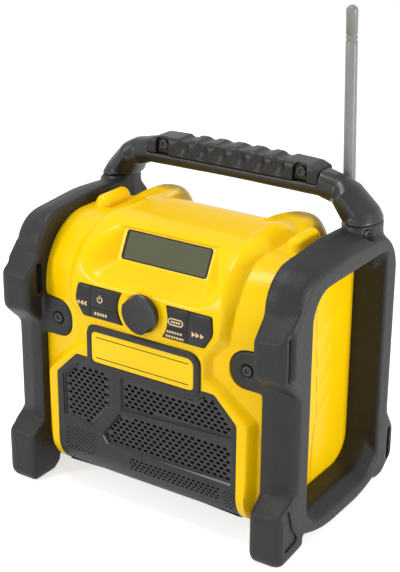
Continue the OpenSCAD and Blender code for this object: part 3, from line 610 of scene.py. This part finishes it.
def housing_half(back):
    """The front half of the housing where back is 0, its rear half where it is 1."""
    middle, ends, s = MIDDLE[back], ENDS[back], (S_FRONT, S_BACK)[back]
    xx, ss = np.meshgrid(np.linspace(-INNER, INNER, COLUMNS), s)
    w = wall_share(xx, ss)
    y = middle[:, 0:1] * (1 - w) + ends[:, 0:1] * w
    z = middle[:, 1:2] * (1 - w) + ends[:, 1:2] * w
    fall = w * SIDE_FALL * np.clip((np.abs(xx) - SIDE_FROM) / (INNER - SIDE_FROM), 0, 1)
    y = np.where(y < 0, y * (1 - fall / ENDS_FRONT), y)
    z += (SWELL * step(*SWELL_X, np.abs(xx)) * (1 - w) * step(*SWELL_RISE, ss)
          * (1 - step(*SWELL_FALL, ss)))
    if back:
        y, z = with_ears(xx, y, z)
    on_top = (ss > ROOF[0]) & (ss < ROOF[1]) & (y < ROOF_LUG_REAR)
    z = np.where(on_top, soft_max(z, roof_lug(xx, y), ROOF_LUG_EASE), z)
    p = np.stack([xx, y, z], -1)
    if not back:
        p = lcd_pocket(p)
    rows, cols = xx.shape
    faces = [(r * cols + k, r * cols + k + 1, (r + 1) * cols + k + 1, (r + 1) * cols + k)
             for r in range(rows - 1) for k in range(cols - 1)]
    last = (rows - 1) * cols
    faces += [(last + k, last + k + 1, k + 1, k) for k in range(cols - 1)]
    faces.append([r * cols for r in range(rows)])
    faces.append([r * cols + cols - 1 for r in range(rows)][::-1])
    obj = new_object(("front_shell", "rear_shell")[back], p.reshape(-1, 3), faces)
    recalc(obj)
    return obj


GRILLE = [(-83.5, 11), (83.5, 11), (83.5, 102, 5), (63.5, 122, 5), (52, 122), (52, 150.5, 9),
          (-52, 150.5, 6), (-52, 122), (-63.5, 122, 5), (-83.5, 102, 5)]
GRILLE_GAP, RECESS_GAP = 0.25, 0.3     # between the housing and what is let into it
PAD_LOW, PAD_HIGH, PAD_Y = 156.7, 181.5, -70
KNOB_RING_R = 23                       # of the yellow ring between the knob and the key pads
LUG_END, LUG_HALF, LUG_R, LUG_Y = 72.5, 15.3, 14, -64.8
SHAFT_HOLE_R = 4.8
LCD_OPENING = rounded(-39.2, 39.2, -11.65, 11.65, 2.6)


def pad_recess():
    """Recess for the keys left of the knob, with its inner side round the knob's ring."""
    g = RECESS_GAP
    corners = outline([(-18 + g, PAD_LOW - g), (-18 + g, PAD_HIGH + g),
                       (-60.7 - g, PAD_HIGH + g, 2.5), (-62.3 - g, 171, 6), (-61.5 - g, 167, 6),
                       (-55 - g, PAD_LOW - g, 4)])
    levels = [PAD_LOW - g + (PAD_HIGH - PAD_LOW + 2 * g) * k / 12 for k in range(13)]
    inner_side = [(-math.sqrt((KNOB_RING_R - g) ** 2 - (z - KNOB_Z) ** 2), z) for z in levels]
    return inner_side + [tuple(p) for p in corners if p[0] < -20]


def lug_recess():
    """Recess for the right frame's screw lug."""
    end, half = LUG_END - RECESS_GAP, LUG_HALF + RECESS_GAP
    return outline([(INNER + 2, LUG_Z - half), (end, LUG_Z - half, LUG_R),
                    (end, LUG_Z + half, LUG_R), (INNER + 2, LUG_Z + half)])


def build_front_shell():
    front_shell = housing_half(0)
    opening = [(x + math.copysign(GRILLE_GAP, x), *rest) for x, *rest in GRILLE]
    boolean(front_shell, [prism(outline(opening), AHEAD, -20)])
    recesses = [prism(points, AHEAD, deep)
                for recess, deep in ((pad_recess(), PAD_Y), (lug_recess(), LUG_Y))
                for points in (recess, mirrored(recess))]
    boolean(front_shell, recesses + [prism(circle(0, KNOB_Z, SHAFT_HOLE_R), AHEAD, -60),
                                     lcd_slab(LCD_OPENING, -2.5, 6)])
    dress(front_shell, M["yellow"], angle=28)
    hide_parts("front_housing")


# openings in the back for battery, jacks and screws, and the y where they start
BACK_OPENINGS = [(rectangle(-36, 36, 66, 196), 36), (rectangle(-85.25, -40.75, 47.75, 72.25), 40)]
BACK_OPENINGS += [(circle(x, z, 4.2), 54) for x in (-80, 80) for z in (37, 150)]
# the seam down each side wall behind the split, as (y, z)
SEAM = [(2, 216), (2, 186), (3.4, 176), (2.2, 172), (4.2, 145), (5.8, 141), (4, 136), (6, 122),
        (7.6, 118), (6, 113), (8.6, 84), (3.6, 62), (2.4, 40), (2.4, 20)]
SEAM_HALF, SEAM_DEEP = 0.42, 0.9
# faint creases that rise to the back from the seam, as y, z to y, z, how wide they are at both
# ends, and their depth at two upper and two lower corners, where they run out of the wall
CREASES = [(5.2, 143, 29, 160), (6.6, 120, 31, 138), (7.8, 98, 32, 116), (6.4, 76, 31, 93)]
CREASE_WIDTHS, CREASE_DEPTHS = (10, 11), (-1.5, -0.4, 0.02, 0.02)


def side_wall_grooves():
    grooves = []
    for (y0, z0), (y1, z1) in zip(SEAM, SEAM[1:]):
        strip = [(y0 - SEAM_HALF, z0 + 0.1), (y1 - SEAM_HALF, z1 - 0.1),
                 (y1 + SEAM_HALF, z1 - 0.1), (y0 + SEAM_HALF, z0 + 0.1)]
        grooves += [prism(strip, INNER - SEAM_DEEP, INNER + 1, "side"),
                    prism(strip, -INNER - 1, SEAM_DEEP - INNER, "side")]
    for y0, z0, y1, z1 in CREASES:
        crease = [(y0, z0), (y1, z1), (y1, z1 - CREASE_WIDTHS[1]), (y0, z0 - CREASE_WIDTHS[0])]
        for sign in (-1, 1):
            grooves.append(skin([[(sign * (INNER + 1), y, z) for y, z in crease],
                                 [(sign * (INNER + d), y, z)
                                  for d, (y, z) in zip(CREASE_DEPTHS, crease)]]))
    return grooves


def build_rear_shell():
    rear_shell = housing_half(1)
    boolean(rear_shell, [prism(points, start, BEHIND) for points, start in BACK_OPENINGS])
    boolean(rear_shell, side_wall_grooves(), loose=True)
    dress(rear_shell, M["yellow"], angle=28)
    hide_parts("rear_housing")


# ---- frames ----

FRAME_FRONT, FRAME_REAR = -90.5, 90.0
# pockets inside the bumper, in the front foot and in the rear foot: outline, from x to x
POCKETS = [(rounded(FRAME_FRONT + 12.5, FRAME_FRONT + 18, 162, 187, 2.6), INNER - 1, INNER + 4),
           (outline([(FRAME_FRONT + 6.4, 11.5, 3), (FRAME_FRONT + 27, 15, 3),
                     (FRAME_FRONT + 17.5, 27, 6), (FRAME_FRONT + 12, 45.5, 2.5),
                     (FRAME_FRONT + 6.4, 47, 2.5)]), OUTER - 1.7, OUTER + 1),
           (rounded(FRAME_REAR - 10, FRAME_REAR - 6.3, 15, 46.5, 1.6), OUTER - 3.5, OUTER + 1)]
# the slot outside the bumper, which narrows as it goes in: x and outline
SLOT = [(OUTER + 1, rounded(FRAME_FRONT + 3.4, FRAME_FRONT + 13.4, 147.5, 185.5, 4.5)),
        (OUTER - 0.2, rounded(FRAME_FRONT + 3.8, FRAME_FRONT + 13, 148, 185, 4.2)),
        (OUTER - 3.2, rounded(FRAME_FRONT + 6.6, FRAME_FRONT + 10.6, 151, 182, 1.9)),
        (OUTER - 5, rounded(FRAME_FRONT + 6.7, FRAME_FRONT + 10.5, 151.2, 181.8, 1.8))]
# the rear post's inner wall runs square to the outer side and meets the housing in a sharp edge
REAR_WALL, REAR_WALL_Z = rectangle(117.5, 129.7, 60, 70), (30, 204)
REAR_EDGE, REAR_EDGE_Z = rectangle(INNER, 114, 59.9, 72), (34, 197)


def build_frames():
    for side, sign in (("left", -1), ("right", 1)):
        wall, edge = ([(sign * x, y) for x, y in points] for points in (REAR_WALL, REAR_EDGE))
        obj = softened("frame_" + side, "side_frame_" + side, 1.0, 32,
                       added=[prism(wall, *REAR_WALL_Z, "top")])
        boolean(obj, [prism(edge, *REAR_EDGE_Z, "top")], "UNION")
        slot = skin([[(sign * x, y, z) for y, z in points] for x, points in SLOT])
        boolean(obj, [slot] + [prism(points, *sorted((sign * x0, sign * x1)), "side")
                               for points, x0, x1 in POCKETS])
        dress(obj, M["frame"], angle=40)
        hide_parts("frame_" + side)


def build_handle():
    bar = softened("handle_bar", "handle", 0.9, 10)
    dress(bar, M["handle"], angle=50)
    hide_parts("handle_bar")
    grip = softened("handle_grip", "grip_cover", 0.6, 6)
    dress(grip, M["grip"], angle=50)
    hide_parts("handle_grip")


# ---- grille ----

# the three perforated cells
CELLS = [[(-77, 65.8), (-50, 62.8), (-33, 83.8), (-33, 111), (-62.5, 113.2), (-77, 99.5)],
         [(-21.5, 86.3), (79, 90.3), (79, 101), (62.5, 117.3), (53.5, 117.3), (49.5, 113.3),
          (45, 111), (-21.5, 111)],
         [(-33.8, 52.4), (79, 52.6), (79, 81.8), (-23.5, 80.3), (-38.5, 60)]]
# bright strips on the ledges below the lower cell: a painted highlight where their rounded edges
# would catch the light
LEDGES = [[(12, 51.75), (79.2, 50.9), (79.2, 52.7), (50, 52.3)],
          [(-39.6, 57.2), (-35.2, 51.4), (-33.9, 51.6), (-38.3, 57.9)]]
# the funnel round a cell: how much wider than the cell it starts, how much narrower it ends, and
# at what depth
FUNNEL_WIDE, FUNNEL_NARROW, FUNNEL_DEEP = 0.5, 0.8, 2
# the sheet behind a cell, how far it reaches beyond the cell and how far its holes stay inside,
# the pitch of its holes and their size
SHEET_Y, SHEET_T, SHEET_BEYOND, HOLES_INSIDE = -77.5, 0.9, 3.5, 0.5
HOLE_X, HOLE_Z, HOLE_W, HOLE_H = 5.8, 3.43, 3.5, 2.1
# rings of a hole from its chamfered rim to the sheet's back: width, height, depth
HOLE_RINGS = ((HOLE_W + 0.9, HOLE_H + 0.8, 0), (HOLE_W, HOLE_H, 0.4), (HOLE_W, HOLE_H, SHEET_T))
HOLE_POINTS = 12
# fine perforations of the lower strip: pitch, columns, heights of their rows, size and depth
FINE_X, FINE_COLUMNS, FINE_ROWS = 4.4, range(-3, 16), (36, 38.9, 41.8, 44.7)
FINE_W, FINE_H, FINE_DEEP = 2.5, 1.6, 4.5
# hatching beside them: pitch, half width, depth and least height of its grooves, and its places
HATCH_PITCH, HATCH_HALF, HATCH_DEEP, HATCH_LEAST = 3.4, 0.6, 0.9, 3
HATCHED = ((-76, -46, 36, 57), (73, 82, 29, 46))
# the grille's face curves under towards the floor round this centre
CURVE_R = MIDDLE_RADII[0]
CURVE_Y, CURVE_Z = CURVE_R - FRONT, LOW + CURVE_R
# the skids: below this height, standing out at least this much, fading between two x, and drawn
# towards an x of their own by a factor
SKID_TOP, SKID_LEAST, SKID_FADE, SKID_X, SKID_NARROW = 40, 0.4, (49, 60), 50, 0.94


def funnel(cell):
    """Cutter for a cell, which narrows behind the grille's face."""
    wide, narrow = grown(cell, FUNNEL_WIDE), grown(cell, -FUNNEL_NARROW)
    rings = ((wide, -8), (wide, 0), (narrow, FUNNEL_DEEP), (narrow, 8))
    return skin([[(x, deep - FRONT, z) for x, z in points] for points, deep in rings])


def hole(x, z, w, h):
    """Outline of a rounded oblong, with three points to a corner."""
    r = min(w, h) * 0.42
    return [(x + sx * (w / 2 - r) + r * math.cos(math.radians(turn)),
             z + sz * (h / 2 - r) + r * math.sin(math.radians(turn)))
            for sx, sz, start in ((1, 1, 0), (-1, 1, 90), (-1, -1, 180), (1, -1, 270))
            for turn in (start, start + 45, start + 90)]


def sheet(cell):
    """Perforated sheet behind a cell, with staggered holes and plain towards the cell's edge."""
    verts, faces, n = [], [], HOLE_POINTS
    holed, whole = grown(cell, -HOLES_INSIDE), grown(cell, SHEET_BEYOND)
    (x0, z0), (x1, z1) = np.min(whole, 0), np.max(whole, 0)
    for row in range(int(z0 / HOLE_Z), int(z1 / HOLE_Z) + 2):
        for col in range(int(x0 / HOLE_X) - 1, int(x1 / HOLE_X) + 2):
            x, z = (col + row % 2 / 2) * HOLE_X, row * HOLE_Z
            corners = [(x + sx * HOLE_X / 2, z + sz * HOLE_Z / 2)
                       for sx, sz in ((1, 1), (-1, 1), (-1, -1), (1, -1))]
            if not within(whole, corners):
                continue
            base = len(verts)
            verts += [(cx, SHEET_Y, cz) for cx, cz in corners]
            if not within(holed, hole(x, z, HOLE_W, HOLE_H)):
                faces.append(tuple(range(base, base + 4)))
                continue
            rim = base + 4
            for w, h, deep in HOLE_RINGS:
                verts += [(hx, SHEET_Y + deep, hz) for hx, hz in hole(x, z, w, h)]
            for q in range(4):
                a, after = rim + 3 * q, rim + (3 * q + 3) % n
                faces += [(base + q, a, a + 1), (base + q, a + 1, a + 2),
                          (base + q, a + 2, after, base + (q + 1) % 4)]
            for first in (rim, rim + n):
                faces += [(first + k, first + (k + 1) % n, first + n + (k + 1) % n, first + n + k)
                          for k in range(n)]
    return verts, faces


def eased_skid(co):
    """Skids under the grille, thinner than their solids and with sloping ends."""
    x, y, z = co / MM
    back, down = min(y - CURVE_Y, 0), z - CURVE_Z
    reach = math.hypot(back, down)
    rise = reach - CURVE_R
    if z < SKID_TOP and rise > SKID_LEAST:
        shrink = (rise - step(*SKID_FADE, abs(x))) / reach
        y, z = y - back * shrink, z - down * shrink
        x = math.copysign(SKID_X + (abs(x) - SKID_X) * SKID_NARROW, x)
    return Vector((x, y, z)) * MM


def face_y(z):
    """Where the grille's face lies at a height."""
    return -FRONT if z >= CURVE_Z else CURVE_Y - math.sqrt(CURVE_R ** 2 - (CURVE_Z - z) ** 2)


def groove(start, end, count=6):
    """Cutter along a line of the grille's face, as deep all along it."""
    rings = []
    for k in range(count + 1):
        x, z = (a + (b - a) * k / count for a, b in zip(start, end))
        y = face_y(z) + HATCH_DEEP
        rings.append([(x - HATCH_HALF, AHEAD, z), (x + HATCH_HALF, AHEAD, z),
                      (x + HATCH_HALF, y, z), (x - HATCH_HALF, y, z)])
    return skin(rings)


def hatching(x0, x1, z0, z1):
    """Slanting grooves at a regular pitch within a rectangle of the grille's face."""
    grooves = []
    for i in range(int((x0 - z1) / HATCH_PITCH), int((x1 - z0) / HATCH_PITCH) + 1):
        shift = HATCH_PITCH * i
        low, high = max(z0, x0 - shift), min(z1, x1 - shift)
        if high - low > HATCH_LEAST:
            grooves.append(groove((low + shift, low), (high + shift, high)))
    return grooves


def fine_pattern():
    """Fine perforations and hatching below the cells."""
    holes = [prism(hole(FINE_X * (i + row % 2 / 2), z, FINE_W, FINE_H),
                   AHEAD, face_y(z) + FINE_DEEP)
             for row, z in enumerate(FINE_ROWS) for i in FINE_COLUMNS]
    return holes + [one for area in HATCHED for one in hatching(*area)]


def build_grille():
    grille = cleaned("grille", "speaker_grille")
    boolean(grille, [funnel(cell) for cell in CELLS])
    for vertex in grille.data.vertices:
        vertex.co = eased_skid(vertex.co)
    bevel(grille, 0.35, 2, 40)
    boolean(grille, fine_pattern())
    dress(grille, M["grille"])
    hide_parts("grille")
    for index, cell in enumerate(CELLS):
        mesh = new_object("grille_sheet_%d" % (index + 1), *sheet(cell))
        dress(mesh, M["sheet"], angle=20)
    # light grey strips along the ledges below the lower cell: a painted highlight
    ledges = joined("grille_ledges", [prism(points, -FRONT - 0.12, -FRONT + 1.2)
                                      for points in LEDGES])
    dress(ledges, M["ledge"])
    # a near-black sheet behind the cells: painted shade that makes the holes read dark
    back = SHEET_Y + SHEET_T
    screen = joined("hole_shade_sheet", [prism(grown(cell, 2), back + 0.02, back + 0.3)
                                    for cell in CELLS])
    dress(screen, M["hole"])


# the two thin lines on the badge: their heights, half length and half width
BADGE_LINES, BADGE_LINE_X, BADGE_LINE_Z = (124.8, 141.7), 42.5, 0.4


def build_badge():
    badge = bevelled("badge_plate", "badge", 0.7, 3)
    dress(badge, M["badge"])
    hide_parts("badge_plate")
    strips = [rectangle(-BADGE_LINE_X, BADGE_LINE_X, z - BADGE_LINE_Z, z + BADGE_LINE_Z)
              for z in BADGE_LINES]
    lines = joined("badge_lines", [prism(strip, -FRONT - BADGE_T - 0.05, -FRONT - 1)
                                   for strip in strips])
    dress(lines, M["line"])


# ---- keys, knob, display ----

def arrow(x, z, w, h):
    return [(x, z - h / 2), (x + w, z), (x, z + h / 2)]


def dashes(x0, x1, z, h, count, gap=0.8):
    w = (x1 - x0 + gap) / count
    return [rectangle(x0 + i * w, x0 + (i + 1) * w - gap, z - h / 2, z + h / 2)
            for i in range(count)]


def arc_band(x, z, r, w, start, end, count):
    """Quads along an arc of radius r and width w, between two angles."""
    turns = [math.radians(start + (end - start) * i / count) for i in range(count + 1)]
    inner = [(x + (r - w / 2) * math.cos(t), z + (r - w / 2) * math.sin(t)) for t in turns]
    outer = [(x + (r + w / 2) * math.cos(t), z + (r + w / 2) * math.sin(t)) for t in turns]
    return [[inner[i], outer[i], outer[i + 1], inner[i + 1]] for i in range(count)]


# signs on the keys; dashes stand for words
PRINTS = {
    "rewind": [arrow(-51.3, 167, -3.1, 4.4), arrow(-54.5, 167, -3.1, 4.4),
               arrow(-58.2, 167, -2.6, 3.6)],
    "power": (arc_band(-39, 172.7, 2.2, 0.85, 125, 415, 20)
              + [rectangle(-39.4, -38.6, 173, 176.2)]),
    "menu": dashes(-44, -32.2, 161, 2.3, 5),
    "mode": (arc_band(26.4, 171.1, 2.3, 0.9, 90, 270, 10)
             + arc_band(34.4, 171.1, 2.3, 0.9, -90, 90, 10)
             + [rectangle(26.4, 34.4, 168.35, 169.25), rectangle(26.4, 34.4, 172.95, 173.85)]
             + dashes(26.4, 34.6, 171.1, 1.5, 4, 0.6)),
    "enter": dashes(23, 36.2, 162.9, 1.7, 6) + dashes(22, 37.6, 159.2, 1.7, 7),
    "forward": [arrow(44.9, 165.8, 3.2, 4.4), arrow(48.4, 165.8, 3.2, 4.4),
                arrow(52.2, 165.8, 3.4, 4)],
}
PRINT_OUT, PRINT_IN = -0.07, 0.1       # how far a print reaches out of its key and into it


def printed(cap, body, name, shapes):
    """Print on a key cap: convex shapes laid on its surface."""
    surface = BVHTree.FromPolygons([v.co for v in cap.data.vertices],
                                   [f.vertices for f in cap.data.polygons])

    def surface_y(x, z):
        start = Vector((x * MM, -0.12, z * MM))
        return surface.ray_cast(start, Vector((0, 1, 0)))[0].y / MM

    solids = []
    for shape in shapes:
        laid = [(x, surface_y(x, z), z) for x, z in shape]
        solids.append(skin([[(x, y + d, z) for x, y, z in laid] for d in (PRINT_OUT, PRINT_IN)]))
    obj = joined(name, solids)
    dress(obj, M["icon"], body)


def build_keys():
    for key, shapes in PRINTS.items():
        obj = bevelled("key_" + key, "cap_" + key, 0.35, 2)
        dress(obj, M["key"], "key_" + key)
        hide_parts("key_" + key)
        printed(obj, "key_" + key, "print_" + key, shapes)


KNOB_BACK, KNOB_FLATS_AT = -FRONT - 0.4, math.radians(130)
# faces this far ahead of the knob's back and this far from its axis towards a flat are glossy
GLOSSY_AHEAD, GLOSSY_OFF_AXIS = (1.5, 4.6), 12
# rings of the knob: how far ahead of its back, from the axis to its two flats, and radius
KNOB_RINGS = [(0, 40, 15), (1.2, 40, 15.2), (1.5, 15, 15.2), (4.1, 13.6, 15.9),
              (4.7, 13.2, 15.5), (4.9, 12.8, 14.9), (4.5, 11.6, 13.2), (3.9, 8.6, 9.8),
              (3.6, 4, 4.5)]


def knob_ring(ahead, chord, most, count=120):
    """Points round the knob, with two flats at chord from its axis."""
    ring = []
    for k in range(count):
        a = 2 * math.pi * k / count
        r = min(most, chord / max(abs(math.cos(a - KNOB_FLATS_AT)), 0.01))
        ring.append((r * math.cos(a), KNOB_BACK - ahead, KNOB_Z + r * math.sin(a)))
    return ring


def build_knob():
    knob = joined("knob_cap", [skin([knob_ring(*ring) for ring in KNOB_RINGS])])
    dress(knob, M["knob"], "tuning_knob", 22)
    knob.data.materials.append(M["knob_gloss"])
    for face in knob.data.polygons:
        x, y, z = face.center / MM
        off_axis = abs(x * math.cos(KNOB_FLATS_AT) + (z - KNOB_Z) * math.sin(KNOB_FLATS_AT))
        ahead = KNOB_BACK - y
        if GLOSSY_AHEAD[0] < ahead < GLOSSY_AHEAD[1] and off_axis > GLOSSY_OFF_AXIS:
            face.material_index = 1
    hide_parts("knob")


def build_display():
    bezel = joined("lcd_bezel", [lcd_slab(rounded(-39, 39, -11.45, 11.45, 2.4), -2, -0.5)])
    bevel(bezel, 0.3, 2)
    dress(bezel, M["bezel"])
    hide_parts("lcd_window")
    glass = joined("lcd_glass", [lcd_slab(rounded(-36.9, 37.2, -10.5, 10.6, 0.8), -1, -0.4)])
    dress(glass, M["lcd"])


def build_antenna_and_screws():
    whip = bevelled("antenna_whip", "antenna_sleeve", 0.15, 1, 50)
    dress(whip, M["antenna"], "antenna", 30)
    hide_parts("antenna_whip")
    for node in ("grip_screws", "lug_screws", "handle_bolts"):
        obj = bevelled(node, node + "_turned", 0.3, 2, 40)
        dress(obj, M["screw"])
        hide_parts(node)


# ---- stage, lights, camera ----

FLOOR_HALF = 6000
FLOOR_GLOW, AMBIENT = 0.66, 0.42
LIGHTS = [("top", (-0.35, -0.25, 1.6), (0, 0, 0.1), 0.5, 11),
          ("front_left", (-0.9, -1.6, 0.9), (0, 0, 0.12), 0.45, 12),
          ("front_right", (0.85, -1.6, 0.35), (0, 0, 0.12), 0.5, 4),
          ("right", (1.7, 0.2, 0.5), (0, 0, 0.12), 0.5, 18)]
# the photograph's camera: azimuth, elevation, roll, what it looks at and from how far, in metres
AZ, EL, ROLL = math.radians(33.67), math.radians(21.77), math.radians(0.38)
TARGET, DISTANCE, LENS = (-0.00195, 0, 0.16607), 1.07878, 86.49


def seen_directly(tree):
    """1 for rays from the camera, off gloss and through glass, else 0."""
    rays = add(tree, "LightPath")
    value = rays.outputs["Is Camera Ray"]
    for kind in ("Is Glossy Ray", "Is Transmission Ray"):
        most = add(tree, "Math")
        most.operation = "MAXIMUM"
        tree.links.new(value, most.inputs[0])
        tree.links.new(rays.outputs[kind], most.inputs[1])
        value = most.outputs[0]
    return value


def build_floor():
    """Pale floor that glows a little where it is seen directly."""
    corners = rectangle(-FLOOR_HALF, FLOOR_HALF, -FLOOR_HALF, FLOOR_HALF)
    floor = new_object("floor", [(x, y, 0) for x, y in corners], [(0, 1, 2, 3)])
    mat = bpy.data.materials.new("floor_paper")
    mat.use_nodes = True
    tree = mat.node_tree
    tree.nodes.clear()
    diffuse = add(tree, "BsdfDiffuse", Color=(*grey(0.82), 1))
    scale = add(tree, "Math")
    scale.operation = "MULTIPLY"
    scale.inputs[1].default_value = FLOOR_GLOW
    glow, total, result = (add(tree, kind) for kind in ("Emission", "AddShader", "OutputMaterial"))
    tree.links.new(seen_directly(tree), scale.inputs[0])
    tree.links.new(scale.outputs[0], glow.inputs["Strength"])
    tree.links.new(diffuse.outputs[0], total.inputs[0])
    tree.links.new(glow.outputs[0], total.inputs[1])
    tree.links.new(total.outputs[0], result.inputs["Surface"])
    floor.data.materials.append(mat)


def build_world(scene):
    """White where it is seen directly, dimmer as light."""
    world = bpy.data.worlds.new("studio")
    scene.world = world
    world.use_nodes = True
    tree = world.node_tree
    tree.nodes.clear()
    ambient = add(tree, "Background", Color=(1, 1, 1, 1), Strength=AMBIENT)
    white = add(tree, "Background", Color=(1, 1, 1, 1), Strength=1.0)
    choose, result = add(tree, "MixShader"), add(tree, "OutputWorld")
    tree.links.new(seen_directly(tree), choose.inputs[0])
    tree.links.new(ambient.outputs[0], choose.inputs[1])
    tree.links.new(white.outputs[0], choose.inputs[2])
    tree.links.new(choose.outputs[0], result.inputs["Surface"])


def build_lights(scene):
    for name, place, aim, size, power in LIGHTS:
        data = bpy.data.lights.new(name, "AREA")
        data.shape, data.size, data.energy = "DISK", size, power
        obj = bpy.data.objects.new(name, data)
        scene.collection.objects.link(obj)
        obj.location = place
        obj.rotation_euler = (Vector(aim) - Vector(place)).to_track_quat("-Z", "Y").to_euler()


def build_camera(scene):
    out = Vector((math.sin(AZ) * math.cos(EL), -math.cos(AZ) * math.cos(EL), math.sin(EL)))
    place = Vector(TARGET) + DISTANCE * out
    across = (-out).cross(Vector((0, 0, 1))).normalized()
    above = across.cross(-out)
    right = across * math.cos(ROLL) + above * math.sin(ROLL)
    upward = above * math.cos(ROLL) - across * math.sin(ROLL)
    camera = bpy.data.cameras.new("camera")
    camera.lens, camera.sensor_width, camera.sensor_fit = LENS, 36.0, "AUTO"
    camera.clip_end = 50
    view = bpy.data.objects.new("camera", camera)
    scene.collection.objects.link(view)
    view.matrix_world = Matrix(((right.x, upward.x, out.x, place.x),
                                (right.y, upward.y, out.y, place.y),
                                (right.z, upward.z, out.z, place.z), (0, 0, 0, 1)))
    scene.camera = view


dress_plain_nodes()
build_front_shell()
build_rear_shell()
build_frames()
build_handle()
build_grille()
build_badge()
build_keys()
build_knob()
build_display()
build_antenna_and_screws()

build_floor()
scene = bpy.context.scene
scene.view_settings.view_transform = "Standard"
build_world(scene)
build_lights(scene)
build_camera(scene)
